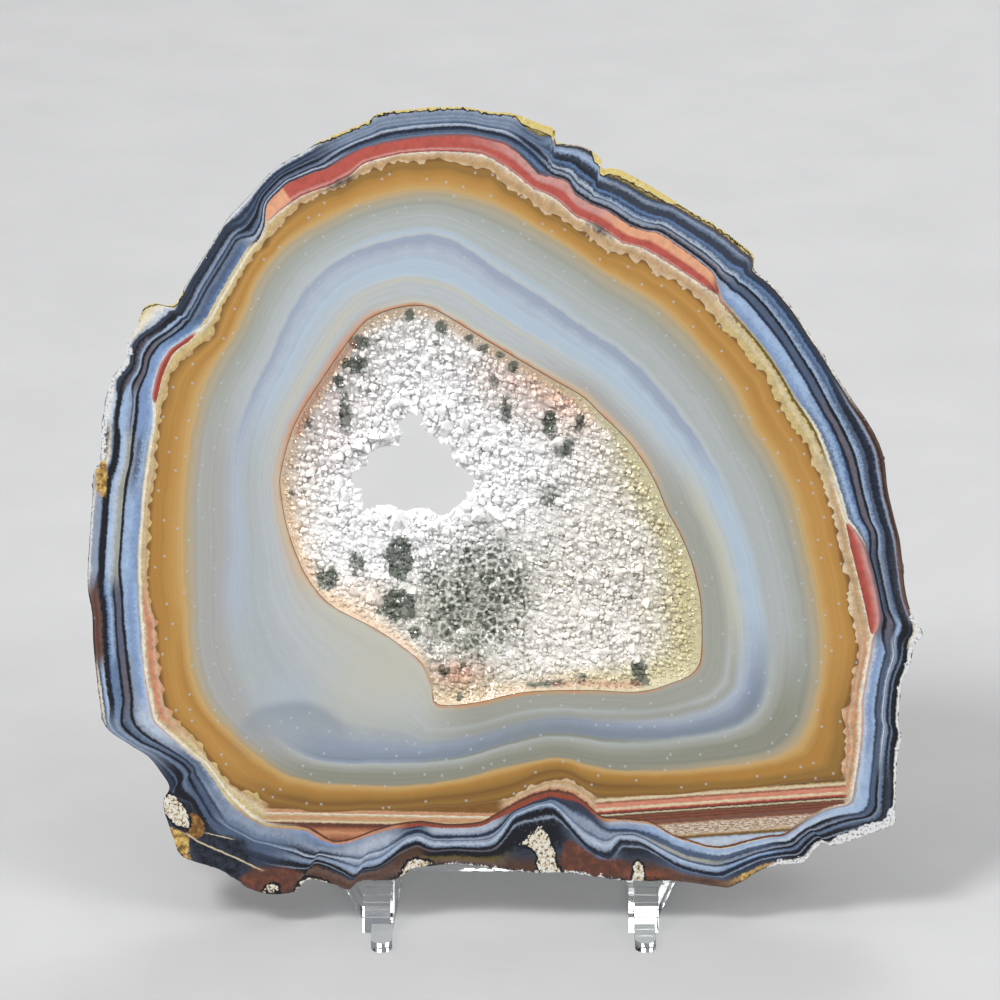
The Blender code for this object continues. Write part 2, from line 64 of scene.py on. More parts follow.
RIM_PIT = 1.7
RIM_LUMP_SIZE = 3.6
RIM_DEPTHS = (0.0, 0.05, 0.24, 0.42, 0.6, 0.78, 0.95, 1.0)
CAD_RIM_POINTS = 190
BOWL_DEPTH = 0.86
LIP = 2.6
LIP_BACK = 0.45
CRUST_GAP = 0.05
CRUST_EDGE_DEPTH = 0.12
CRUST_BOWL_DEPTH = 3.6
CRUST_HOLE_DEPTH = 4.9
WALL_STEPS = (0.0, 0.04, 0.12, 0.3, 0.6, 1.0)
HOLE_CENTRE = np.array((-13.1, 59.9))

# Fineness of the meshes
MIDDLE = np.array((-2.0, 52.0))
STATIONS = 960
FINE_ANGLES = 2880
BLUE_LINES = 22
FRONT_ROWS = (3, 5, 4, 4, 4)
BACK_ROWS = (1, 2, 3, 3, 3)
RIM_ROWS = 12
CRUST_STATIONS = 480
CRUST_ROWS = 26

# The photograph's view
PIXELS_PER_MM = 7.0
IMAGE_SIZE = 1000
VIEW_CENTRE = (-0.57, 54.86)
VIEW_DISTANCE = 650.0
SENSOR = 36.0
FLOOR_GAP = 0.0001
FLOOR_HALF_SIZE = 3.0
VIEW_LIMIT = 20.0

# The studio, in metres and watts: name, place, size and power of each lamp; heights in the
# room, from straight down (0) to straight up (1), and their light
SOFTBOXES = (
    ("key_softbox", (-0.6, -0.45, 1.0), 0.35, 13.0),
    ("fill_softbox", (0.85, -0.5, 0.75), 0.5, 6.0),
    ("back_softbox", (0.2, 0.9, 0.7), 0.5, 4.0),
)
LAMP_TARGET = (0.0, 0.0, 0.06)
ROOM_TONES = (
    (0.05, (0.24, 0.24, 0.25, 1.0)),
    (0.5, (0.24, 0.25, 0.27, 1.0)),
    (0.95, (1.3, 1.3, 1.32, 1.0)),
)
LIGHT_GAIN = 1.42

RIM_OUTLINE = (
    (-17.7, 110.4), (-11.6, 111.1), (-6.0, 111.3), (-2.3, 110.6), (1.4, 110.3),
    (4.6, 109.1), (7.3, 108.0), (7.0, 106.6), (8.6, 106.0), (11.4, 105.6),
    (13.9, 103.9), (14.1, 102.4), (16.3, 102.4), (19.4, 100.9), (23.1, 98.7),
    (26.9, 96.3), (30.9, 94.0), (34.4, 91.3), (35.9, 89.9), (36.0, 87.9),
    (38.7, 85.6), (41.7, 82.0), (44.3, 78.0), (49.6, 69.9), (51.9, 66.6),
    (53.6, 63.6), (54.6, 60.7), (55.1, 56.4), (56.0, 52.4), (56.9, 48.6),
    (57.6, 42.0), (58.6, 38.4), (60.1, 35.7), (58.9, 34.0), (58.3, 31.4),
    (57.0, 28.1), (56.6, 22.9), (57.0, 20.9), (56.4, 17.6), (56.1, 11.0),
    (55.9, 8.4), (52.6, 7.1), (50.0, 6.1), (47.0, 5.3), (45.9, 5.7),
    (44.4, 4.6), (43.1, 3.0), (40.1, 2.6), (37.6, 2.1), (35.3, 0.9),
    (32.6, -0.6), (30.7, -0.6), (24.7, 0.2), (20.3, 0.2), (17.2, 0.2),
    (13.7, 0.7), (8.3, 1.4), (5.0, 1.3), (1.4, 1.6), (-3.7, 2.3),
    (-7.3, 2.6), (-10.6, 2.3), (-12.9, 2.0), (-15.0, 0.7), (-16.4, 0.3),
    (-20.6, 0.2), (-22.3, -1.1), (-24.1, -0.4), (-28.1, 0.4), (-30.0, -1.3),
    (-33.3, -1.7), (-35.9, -1.1), (-37.9, 0.1), (-40.9, 1.9), (-44.4, 3.0),
    (-46.4, 4.0), (-47.4, 6.3), (-48.9, 11.3), (-48.0, 13.6), (-49.3, 15.9),
    (-51.1, 18.1), (-53.6, 19.7), (-57.1, 22.3), (-58.0, 26.0), (-58.9, 33.9),
    (-59.1, 38.6), (-59.7, 42.0), (-59.7, 45.7), (-59.1, 54.7), (-58.9, 58.4),
    (-57.9, 61.4), (-57.6, 66.4), (-56.4, 72.1), (-54.4, 74.6), (-54.1, 77.1),
    (-52.6, 79.9), (-51.7, 82.4), (-50.1, 83.1), (-47.3, 83.0), (-45.1, 86.7),
    (-42.0, 91.6), (-39.6, 95.3), (-36.4, 98.7), (-32.9, 102.4), (-28.7, 104.9),
    (-25.9, 106.6), (-20.0, 109.0),
)

CAVITY_OUTLINE = (
    (-11.9, 82.7), (-9.0, 81.7), (-3.1, 78.1), (2.3, 74.9), (7.1, 72.1),
    (11.3, 69.7), (14.0, 67.1), (17.6, 63.6), (20.3, 59.9), (22.1, 56.6),
    (23.3, 53.6), (25.1, 50.3), (26.6, 46.9), (27.6, 43.4), (28.3, 39.1),
    (28.3, 32.6), (27.4, 30.4), (25.4, 29.1), (19.6, 27.4), (11.9, 27.6),
    (3.1, 27.3), (-3.4, 25.9), (-8.0, 25.4), (-9.9, 25.9), (-10.4, 28.0),
    (-11.4, 31.0), (-13.4, 33.0), (-18.4, 36.4), (-24.6, 39.7), (-28.3, 44.0),
    (-30.9, 50.4), (-31.9, 55.7), (-31.9, 59.0), (-29.9, 65.7), (-25.4, 73.1),
    (-20.9, 79.3), (-18.4, 81.3), (-15.1, 82.4),
)

HOLE_OUTLINE = (
    (-13.7, 67.4), (-12.4, 67.6), (-11.4, 66.7), (-11.5, 65.1), (-10.3, 64.2),
    (-9.3, 63.4), (-7.7, 62.8), (-7.5, 61.2), (-6.7, 60.1), (-5.6, 59.2),
    (-4.0, 57.9), (-4.6, 56.3), (-5.4, 55.0), (-6.7, 54.0), (-8.2, 52.8),
    (-9.5, 52.7), (-10.8, 53.5), (-12.6, 53.7), (-14.6, 53.2), (-16.5, 54.2),
    (-18.7, 53.5), (-20.4, 53.3), (-20.3, 54.6), (-21.1, 56.0), (-21.8, 57.2),
    (-21.7, 59.0), (-20.4, 59.4), (-19.6, 60.3), (-19.5, 61.6), (-18.1, 62.4),
    (-16.5, 62.6), (-15.2, 62.9), (-14.9, 64.0), (-15.4, 65.6), (-14.5, 66.6),
)

# Inner edge of the blue bands, clockwise from the top left
BLUE_EDGE = (
    (-25.5, 102.1), (-22, 104.2), (-20, 105.1), (-15, 106.2), (-10, 106.8), (-5, 106.9),
    (-3, 106.5), (0, 105.8), (2, 104.5), (5, 101.3), (8, 100.8), (9.3, 100.2), (10, 98.6),
    (12, 97.3), (15, 96.1), (18, 94.0), (20, 93.3), (22, 93.1), (24, 91.8), (26, 90.4),
    (28, 88.9), (30, 87.2), (31, 83.5), (33, 81.3), (35, 79.0), (38.5, 74.5), (41.5, 69.3),
    (44.5, 64.8), (46, 61), (47, 58), (48, 55), (48.8, 52), (50.2, 50.5), (51.5, 48.5),
    (52.2, 46), (53, 43), (53.9, 38), (53.5, 36.3), (52.6, 35.2), (52.4, 34), (51.7, 30),
    (51, 26), (51, 22), (50.2, 15), (49.6, 11.4), (48, 11.2), (46, 10.6), (44, 9.6),
    (42, 8.2), (40, 6.8), (38, 6.8), (35, 6.1), (33, 5.5), (31, 5.1), (29, 5.3), (27, 6.0),
    (24, 6.9), (21.5, 8.6), (20, 9.0), (17, 9.2), (14, 9.4), (13.3, 9.9), (11.5, 11.6),
    (10, 12.6), (8, 13.1), (6.5, 13.2), (4, 12.5), (2, 11.6), (-1.5, 9.6), (-3, 8.7),
    (-5, 8.4), (-8, 8.3), (-12, 8.8), (-14, 8.6), (-16, 8.3), (-19, 7.4), (-22, 6.2),
    (-24, 5.9), (-25, 6.1), (-27, 7.4), (-28, 8.0), (-30, 8.3), (-34, 8.5), (-36, 9.5),
    (-39, 12.2), (-41.5, 15.6), (-42.7, 17.3), (-43.8, 18.0), (-46, 19.8), (-49.4, 22.8),
    (-50, 23.5), (-50.5, 26), (-51.2, 29), (-51.7, 36), (-52.1, 42.5), (-51.8, 52),
    (-51, 60), (-50.2, 65), (-50, 67.5), (-50.3, 70), (-49.3, 74), (-47.7, 76.5),
    (-46, 77.6), (-42.9, 79.8), (-42, 80.8), (-39.3, 85.8), (-38, 88), (-36, 91.2),
    (-35, 92), (-34.1, 94), (-34.1, 96.5), (-33.7, 97.5), (-30.8, 100.3), (-30, 100.5),
    (-27, 101.8),
)

# Inner edge of the red jasper where it lies between the blue bands and the tan crust
RED_STRETCHES = (
    ((-33.9, 94.5), (-32, 96.2), (-29, 98.3), (-25, 99.7), (-22, 101.2), (-20, 103),
     (-15, 104.3), (-10, 104.7), (-5, 104.5), (-3, 104.3), (0, 102.7), (4, 99.5), (7, 98.2),
     (8.3, 97.2), (10, 95.5), (13, 94.2), (17, 91.6), (20, 90.8), (25, 87.8), (28, 85.8),
     (30.8, 84.0)),
    ((48.7, 52), (49.5, 48), (50.3, 45), (51, 42), (51.6, 39.5), (52, 37.5), (52.4, 35.5)),
    ((-42.9, 79.6), (-45, 77.5), (-46.5, 76.5), (-47.5, 75.5), (-48.8, 72.5), (-49.5, 69.5),
     (-50, 67.7)),
    ((-43.9, 18.2), (-44.6, 19.1), (-46, 20.2)),
)

# Scalloped edge between the tan crust and the amber band
CRUST_EDGE = (
    (-29.5, 96.6), (-26, 99), (-23.5, 99.3), (-20, 101.8), (-18, 102.1), (-15, 103.5),
    (-13, 103.1), (-8, 103.4), (-4, 102.2), (-2, 102.3), (0, 99.8), (3, 98.3), (5.5, 96.1),
    (8, 95.2), (11, 93), (13, 91.8), (15, 90.3), (17.5, 89.9), (19, 88.8), (20, 89),
    (22, 87), (24, 86.5), (27, 84.2), (29, 82.3), (31, 79.6), (33, 77.8), (36, 74),
    (37.5, 72.8), (38.7, 69.5), (41, 65.8), (43.3, 62.8), (44, 60.3), (46, 56.8),
    (46.3, 54.8), (47, 53.5), (47.5, 50.2), (48.3, 46), (49.2, 43), (49.4, 39), (50, 37),
    (50.6, 34), (50.0, 30), (49.4, 27), (48.3, 24), (49, 20), (48.3, 16), (48.2, 15.2),
    (45, 14.9), (40, 14.4), (30, 13.5), (20, 12.7), (13.3, 12.5), (11.5, 13.6), (10, 14.7),
    (8.5, 15.1), (7, 15), (5, 14.5), (2, 12.8), (0, 12.1), (-5, 11.3), (-10, 11.1),
    (-20, 10.6), (-28, 10.3), (-30, 10.9), (-34, 11.6), (-35.5, 12.8), (-39, 14.2),
    (-41.5, 17.2), (-44, 20.7), (-47, 23.6), (-48.3, 25.5), (-49.2, 31), (-49.7, 37.5),
    (-50.9, 41), (-50.7, 49), (-50.5, 55), (-49.6, 59), (-49.5, 66), (-48.3, 70),
    (-48, 72.2), (-46, 75), (-42.5, 77.6), (-41.4, 78.5), (-40, 83), (-38, 87),
    (-36, 90.2), (-34, 91.2), (-33.3, 92.8), (-30.5, 95.7),
)

# Where the amber has half faded to grey
AMBER_FADE = (
    (-10, 98.8), (-20, 97), (-25, 94.5), (-30, 92), (-35, 86.5), (-37, 80), (-43, 70),
    (-45, 60), (-45.5, 50), (-45, 40), (-44.5, 30), (-42.5, 25), (-37, 20), (-31, 15.5),
    (-25, 14.5), (-20, 14.3), (-10, 14.6), (0, 17), (8, 18.6), (15, 16.4), (20, 16.4),
    (30, 17), (40, 18.6), (42, 20), (44, 25), (45, 30), (45, 35), (44.3, 40), (43.4, 45),
    (42, 50), (41, 55), (38.5, 60), (35, 65), (33, 70), (29, 75), (25, 79.5), (20, 83.8),
    (15, 86.3), (10, 90), (5, 93), (0, 96),
)

# Middle of the darker lavender line
LAVENDER_LINE = (
    (-11.9, 92.4), (-8.4, 92.4), (-6.1, 91), (-2.6, 88.1), (1.5, 85.4), (6.2, 82.5),
    (10.9, 79), (15.5, 76.1), (19.6, 72.6), (22.5, 69.1), (25.4, 65.6), (28.9, 60.4),
    (31.8, 53.9), (34.2, 48.1), (35.3, 42.3), (36.5, 36.4), (36.5, 30.6), (35.3, 24.7),
    (30.6, 22.7), (25.4, 21.8), (19.6, 21.4), (14.3, 21.5), (9.7, 22.4), (5.1, 22.1),
    (-0.2, 20.7), (-5.5, 18.9), (-11.3, 18.3), (-17.1, 18.3), (-25.9, 18.3), (-30.5, 20.4),
    (-34.6, 25.4), (-38.7, 39.3), (-37.5, 48.1), (-38.1, 56.8), (-37.5, 64.4),
    (-32.9, 74.9), (-29.4, 82.5), (-26.5, 86.6), (-21.2, 90.1),
)

PALETTE = {
    "ink": (14, 17, 26),
    "navy": (34, 48, 72),
    "charcoal": (54, 62, 78),
    "slate": (80, 96, 122),
    "steel": (112, 130, 154),
    "cornflower": (100, 130, 172),
    "periwinkle": (130, 156, 198),
    "sky": (164, 188, 220),
    "pale": (190, 204, 222),
    "haze": (148, 160, 180),
    "mauve": (104, 100, 112),
    "white": (238, 238, 236),
    "chalk": (240, 232, 212),
    "cream": (224, 208, 172),
    "yellow": (226, 204, 124),
    "olive": (106, 92, 48),
    "brown": (84, 58, 46),
    "cocoa": (110, 86, 76),
    "rust": (138, 80, 54),
    "maroon": (100, 60, 48),
    "red": (160, 66, 50),
    "brick": (188, 88, 76),
    "rose": (208, 152, 144),
    "peach": (232, 170, 132),
    "tan": (196, 160, 114),
    "sand": (212, 186, 152),
    "straw": (208, 186, 126),
    "apricot": (206, 144, 104),
    "salmon": (214, 140, 114),
    "umber": (132, 92, 42),
    "bronze": (152, 114, 54),
    "ochre": (180, 132, 62),
    "amber": (194, 146, 76),
    "honey": (204, 166, 104),
    "fade": (182, 168, 138),
    "moss": (146, 147, 132),
    "sage": (166, 168, 158),
    "silver": (180, 186, 184),
    "dove": (174, 174, 170),
    "lavender": (160, 172, 190),
    "dusk": (132, 144, 158),
    "lilac": (180, 190, 204),
    "iceblue": (184, 200, 214),
    "mist": (190, 196, 198),
    "glow": (200, 198, 184),
    "orange": (204, 146, 108),
}

# The blue bands, clockwise. Each stretch runs from one place on the rim to another and
# lists how far in each line lies, in hundredths of the way from the rim to the edge of
# the blue, and its colour. The lines are the same all the way round: rind, outer dark
# band with a hairline in it, pale band, dark line, middle band, dark line, inner pale
# band and its edge.
BLUE_BANDS = {
    "left": ((-59.7, 45), (-59, 54),
        (0, 3, 7, 18, 20, 22, 24, 33, 36, 45, 55, 56, 57, 58, 60, 61, 65, 68, 80, 94, 97, 100),
        "brown white haze haze slate ink ink ink sky pale sage sage sage sage sage ink ink sky "
        "sky periwinkle haze cream"),
    "left_upper": ((-58.6, 60), (-57.8, 64),
        (0, 8, 17, 22, 25, 27, 29, 39, 43, 50, 58, 59, 60, 61, 62, 63, 68, 71, 78, 92, 96, 100),
        "white cocoa chalk haze charcoal ink ink ink sky pale sage sage sage sage sage ink ink "
        "haze slate sky haze cream"),
    "left_high": ((-57.6, 67), (-57, 70),
        (0, 8, 18, 22, 25, 27, 29, 31, 34, 44, 54, 55, 56, 58, 60, 62, 67, 70, 84, 96, 98, 100),
        "white white pale charcoal ink ink ink ink sky sky haze slate slate haze haze ink ink "
        "periwinkle periwinkle sky pale white"),
    "upper_left": ((-56, 73), (-54, 78),
        (0, 4, 10, 13, 22, 25, 28, 38, 41, 44, 47, 49, 54, 57, 65, 67, 71, 74, 86, 96, 98, 100),
        "white chalk haze charcoal charcoal ink ink mauve steel sky haze ink ink mauve mauve ink "
        "ink periwinkle periwinkle sky pale white"),
    "notch": ((-51.7, 82.4), (-51.2, 82.8),
        (0, 16, 36, 40, 44, 46, 48, 57, 60, 62, 64, 66, 69, 71, 76, 77, 81, 84, 92, 97, 99, 100),
        "yellow chalk pale charcoal charcoal charcoal ink ink sky sky steel ink ink steel steel "
        "ink ink cornflower cornflower sky pale pale"),
    "left_top": ((-47.5, 84), (-40.5, 94),
        (0, 2, 4, 6, 10, 14, 18, 28, 33, 37, 41, 43, 45, 47, 51, 53, 57, 61, 74, 90, 94, 100),
        "haze chalk haze charcoal charcoal navy charcoal ink steel haze steel navy navy steel "
        "slate ink charcoal steel slate cornflower cream straw"),
    "top_left": ((-38.5, 96.5), (-29, 104.8),
        (0, 5, 12, 17, 26, 32, 38, 44, 48, 50, 52, 54, 62, 67, 76, 79, 83, 86, 88, 91, 95, 100),
        "haze white haze charcoal navy slate navy charcoal slate steel navy ink ink slate steel "
        "navy ink haze pale haze ink brown"),
    "top": ((-22, 108.3), (0.5, 110.3),
        (0, 4, 8, 16, 26, 32, 40, 45, 48, 50, 53, 54, 56, 59, 65, 69, 78, 82, 87, 92, 95, 100),
        "cream cream haze haze steel haze steel haze steel steel slate slate slate pale haze ink "
        "navy slate slate steel mauve brick"),
    "top_bump": ((3.5, 109.5), (5, 109),
        (0, 12, 24, 28, 32, 36, 40, 44, 46, 48, 50, 52, 59, 62, 66, 69, 76, 80, 86, 92, 95, 100),
        "cream yellow olive steel slate slate steel slate steel steel slate navy ink slate steel "
        "navy navy slate cornflower slate charcoal mauve"),
    "step": ((8.6, 106), (13.4, 104.3),
        (0, 3, 6, 9, 13, 22, 31, 47, 52, 63, 71, 77, 79, 81, 86, 91, 95, 96, 97, 98, 99, 100),
        "chalk cocoa ink slate haze sky charcoal ink cornflower navy pale charcoal charcoal haze "
        "haze ink ink mauve mauve mauve mauve rose"),
    "top_right": ((16.3, 102.4), (21, 99.8),
        (0, 12, 22, 26, 30, 35, 42, 56, 60, 68, 76, 79, 80, 83, 88, 92, 96, 97, 98, 98, 99, 100),
        "yellow yellow olive charcoal slate haze charcoal charcoal cornflower navy sky mauve "
        "mauve haze haze ink ink mauve mauve mauve mauve rose"),
    "right_step": ((26, 97), (34, 91.6),
        (0, 5, 11, 17, 22, 27, 34, 50, 54, 62, 72, 75, 77, 80, 86, 91, 95, 97, 98, 98, 99, 100),
        "chalk yellow brown slate haze steel charcoal charcoal cornflower slate pale charcoal "
        "charcoal haze mauve ink ink haze haze haze rose rose"),
    "right_high": ((37, 87.3), (47, 74),
        (0, 2, 4, 6, 8, 9, 10, 16, 20, 27, 37, 39, 43, 46, 57, 59, 63, 66, 78, 93, 96, 100),
        "white chalk ink charcoal charcoal charcoal charcoal navy cornflower slate sky ink ink "
        "slate slate navy navy sky sky periwinkle haze straw"),
    "right": ((52, 66.4), (56.4, 51),
        (0, 4, 8, 10, 13, 15, 18, 30, 34, 38, 47, 49, 53, 55, 63, 65, 69, 72, 82, 92, 96, 100),
        "cocoa brown ink cocoa haze haze navy ink slate slate sky ink ink mauve mauve ink navy "
        "cornflower sky slate white yellow"),
    "right_red": ((57.4, 46), (58.6, 38.4),
        (0, 4, 10, 14, 17, 20, 23, 44, 50, 59, 67, 71, 75, 78, 87, 90, 95, 96, 97, 98, 99, 100),
        "cocoa brown cocoa cocoa haze mauve charcoal ink slate steel haze ink ink charcoal slate "
        "ink ink mauve mauve mauve mauve brick"),
    "nub": ((60.1, 35.9), (60, 35.4),
        (0, 10, 20, 24, 28, 30, 32, 48, 50, 56, 62, 66, 68, 72, 82, 86, 93, 95, 96, 97, 99, 100),
        "white white chalk ink ink charcoal ink ink steel sky steel ink charcoal mauve mauve ink "
        "ink mauve mauve mauve mauve brick"),
    "right_low": ((58.3, 31.4), (56.5, 19),
        (0, 5, 9, 11, 21, 24, 28, 32, 35, 39, 42, 43, 45, 49, 57, 60, 63, 68, 78, 92, 97, 100),
        "white white ink ink ink steel ink navy steel haze steel white haze slate slate charcoal "
        "charcoal sky periwinkle pale rose cream"),
    "corner_right": ((56.2, 12.5), (55.9, 8.5),
        (0, 3, 6, 9, 14, 20, 30, 38, 41, 42, 43, 45, 50, 52, 60, 62, 64, 68, 78, 92, 97, 100),
        "white chalk ink ink charcoal charcoal ink steel steel haze steel ink ink slate slate "
        "charcoal slate sky sky pale haze apricot"),
    "bottom_right": ((48.5, 5.6), (43, 3.2),
        (0, 8, 18, 22, 26, 29, 33, 42, 46, 50, 54, 57, 61, 64, 71, 73, 78, 82, 88, 95, 98, 100),
        "ink white ink ink ink haze ink ink slate steel slate ink ink haze charcoal ink ink pale "
        "pale sky haze apricot"),
    "foot_outer": ((38.5, 2.3), (35, 0.8),
        (0, 8, 16, 20, 27, 31, 34, 41, 44, 48, 51, 53, 56, 60, 68, 72, 78, 82, 90, 96, 98, 100),
        "ink honey charcoal charcoal navy haze navy ink cornflower sky steel ink navy haze "
        "charcoal slate slate pale sky sky cream straw"),
    "foot": ((30, -0.5), (27, -0.1),
        (0, 8, 16, 19, 21, 23, 25, 31, 35, 40, 45, 47, 50, 53, 60, 63, 74, 82, 90, 96, 98, 100),
        "cocoa brown cocoa slate slate steel navy ink haze sky pale slate slate sage sage slate "
        "slate sky sky pale orange tan"),
    "foot_inner": ((21.5, 0.2), (19.5, 0.2),
        (0, 10, 24, 38, 53, 56, 59, 65, 68, 71, 74, 75, 76, 77, 78, 80, 83, 86, 90, 95, 98, 100),
        "ink rust brown charcoal ink haze charcoal ink haze pale haze slate slate haze haze slate "
        "navy periwinkle haze lilac orange tan"),
    "dome_right": ((15.5, 0.5), (14.5, 0.6),
        (0, 10, 20, 24, 27, 29, 31, 36, 40, 47, 54, 56, 58, 61, 72, 78, 82, 85, 88, 92, 95, 100),
        "ink cocoa rust slate steel navy navy ink haze pale haze slate steel haze haze slate "
        "charcoal charcoal charcoal charcoal red rust"),
    "dome": ((8.5, 1.4), (2.5, 1.5),
        (0, 12, 26, 42, 67, 70, 73, 80, 82, 85, 87, 88, 89, 89.5, 90, 90.5, 91, 91.5, 92, 92.5, 94, 100),
        "brown brown charcoal ink ink haze ink ink steel pale steel steel steel steel steel ink "
        "ink charcoal charcoal charcoal red rust"),
    "bottom": ((-2, 2), (-10.5, 2.3),
        (0, 8, 17, 24, 33, 36, 39, 43, 46, 52, 59, 62, 63, 64, 66, 69, 74, 78, 84, 92, 95, 100),
        "ink cocoa olive ink ink mauve ink ink steel pale haze slate steel haze haze navy navy "
        "haze lilac lilac red rust"),
    "left_foot_inner": ((-14, 1.3), (-15, 0.8),
        (0, 14, 30, 44, 48, 51, 53, 60, 63, 68, 74, 75, 76, 77, 78, 80, 86, 88, 90, 92, 94, 100),
        "ink cocoa brown brown brown mauve ink ink steel pale haze steel steel haze steel navy "
        "navy steel charcoal charcoal red rust"),
    "left_foot": ((-19.5, 0.2), (-21.5, -0.4),
        (0, 6, 14, 18, 20, 21, 22, 25, 29, 34, 39, 41, 43, 46, 52, 55, 60, 66, 78, 92, 97, 100),
        "cocoa brown cocoa charcoal ink steel ink ink haze sky haze slate steel haze pale slate "
        "haze lilac lilac haze orange apricot"),
    "left_foot_outer": ((-28, 0.4), (-31, -1.4),
        (0, 12, 26, 38, 41, 43, 45, 50, 52, 55, 58, 60, 62, 64, 66, 68, 71, 78, 86, 94, 97, 100),
        "brown brown cocoa ink ink haze ink ink steel haze steel ink ink pale haze ink charcoal "
        "haze steel periwinkle orange apricot"),
    "smoky": ((-37.5, 0), (-43, 2.7),
        (0, 12, 26, 36, 38, 40, 42, 50, 54, 58, 62, 64, 66, 67, 69, 71, 74, 77, 86, 94, 97, 100),
        "charcoal charcoal charcoal charcoal charcoal charcoal navy charcoal slate slate slate "
        "slate slate haze steel slate steel steel haze haze tan straw"),
    "corner_left": ((-47, 5.5), (-48, 8),
        (0, 12, 26, 36, 42, 46, 50, 54, 57, 60, 62, 63, 66, 68, 74, 76, 78, 80, 84, 94, 97, 100),
        "charcoal charcoal charcoal charcoal ink charcoal ink ink slate slate slate navy navy "
        "slate slate charcoal slate haze steel haze cream straw"),
    "corner_upper": ((-48.8, 11.5), (-48.4, 14.5),
        (0, 5, 12, 18, 22, 24, 27, 42, 45, 50, 56, 60, 64, 67, 72, 74, 77, 80, 88, 94, 97, 100),
        "ink charcoal navy ink slate slate ink ink slate steel slate ink ink slate slate navy "
        "charcoal steel slate haze cream straw"),
    "left_turn": ((-53.6, 19.7), (-55.5, 21.3),
        (0, 2, 3, 4, 5, 6, 7, 9, 12, 17, 23, 25, 30, 33, 46, 49, 54, 60, 78, 94, 97, 100),
        "charcoal haze steel haze haze haze haze steel steel haze steel ink ink slate steel ink "
        "ink haze pale pale rose cream"),
    "left_low": ((-57.9, 25), (-58.4, 29),
        (0, 4, 8, 10, 13, 16, 19, 28, 32, 38, 45, 48, 52, 54, 63, 65, 69, 73, 84, 94, 97, 100),
        "brown chalk charcoal cornflower sky pale ink ink cornflower steel cornflower ink ink "
        "mauve mauve ink ink haze periwinkle sky pale apricot"),
    "left_maroon": ((-58.8, 33), (-59.3, 40.5),
        (0, 3, 5, 8, 12, 16, 22, 29, 33, 39, 45, 47, 50, 52, 61, 62, 66, 69, 80, 94, 97, 100),
        "ink brown cocoa maroon maroon cocoa ink ink cornflower sky steel ink navy mauve slate "
        "ink ink sky periwinkle sky haze cream"),
}

# The red jasper, from its outer edge to its inner edge
RED_BANDS = {
    "left_end": ((-34, 95.5), (-31.3, 98.7), (0, 8, 88, 94, 100), "mauve peach peach rose brown"),
    "top_left": ((-31, 98.9), (-8, 105.8),
        (0, 6, 25, 70, 84, 93, 100),
        "mauve brick brick brick rose brick brown"),
    "top_right": ((3, 101.5), (13, 96),
        (0, 5, 35, 55, 86, 94, 100),
        "ink rose rose brick brick rose brown"),
    "right": ((17, 93.5), (29, 87),
        (0, 5, 45, 60, 88, 94, 100),
        "ink peach peach brick brick rose brown"),
    "end": ((31, 84.5), (33, 81), (0, 50, 100), "brown red brown"),
    "east": ((51.5, 48), (52.6, 36), (0, 20, 60, 100), "mauve rose brick red"),
    "south": ((-43.5, 18), (-46, 20), (0, 50, 100), "rose red red"),
    "west": ((-50, 68), (-44, 79), (0, 50, 100), "rose red red"),
}

# The pale crust, from its outer edge to its scalloped inner edge
CRUST_BANDS = {
    "top": ((-25, 100), (0, 101), (0, 10, 25, 60, 85, 100), "rose chalk sand tan tan sand"),
    "top_right": ((14, 92), (26, 86), (0, 12, 25, 60, 100), "rose chalk sand tan sand"),
    "right_high": ((35, 77), (44, 64), (0, 10, 40, 70, 100), "olive straw cream straw straw"),
    "right": ((48, 54), (50, 42), (0, 14, 45, 80, 100), "chalk sand tan sand cream"),
    "right_low": ((51, 30), (49.5, 18),
        (0, 12, 30, 60, 80, 100),
        "chalk sand apricot sand apricot sand"),
    "bottom": ((35, 10), (-28, 9), (0, 10, 40, 70, 100), "maroon apricot sand tan sand"),
    "corner": ((-36, 11), (-44, 19), (0, 15, 50, 80, 100), "chalk straw cream tan straw"),
    "left_low": ((-49.5, 26), (-50.6, 38),
        (0, 10, 30, 55, 80, 100),
        "chalk sand apricot salmon sand apricot"),
    "left": ((-51.4, 46), (-50, 64), (0, 12, 50, 80, 100), "chalk straw sand tan straw"),
    "left_high": ((-45, 76), (-38, 88), (0, 8, 40, 70, 100), "chalk cream straw straw tan"),
}

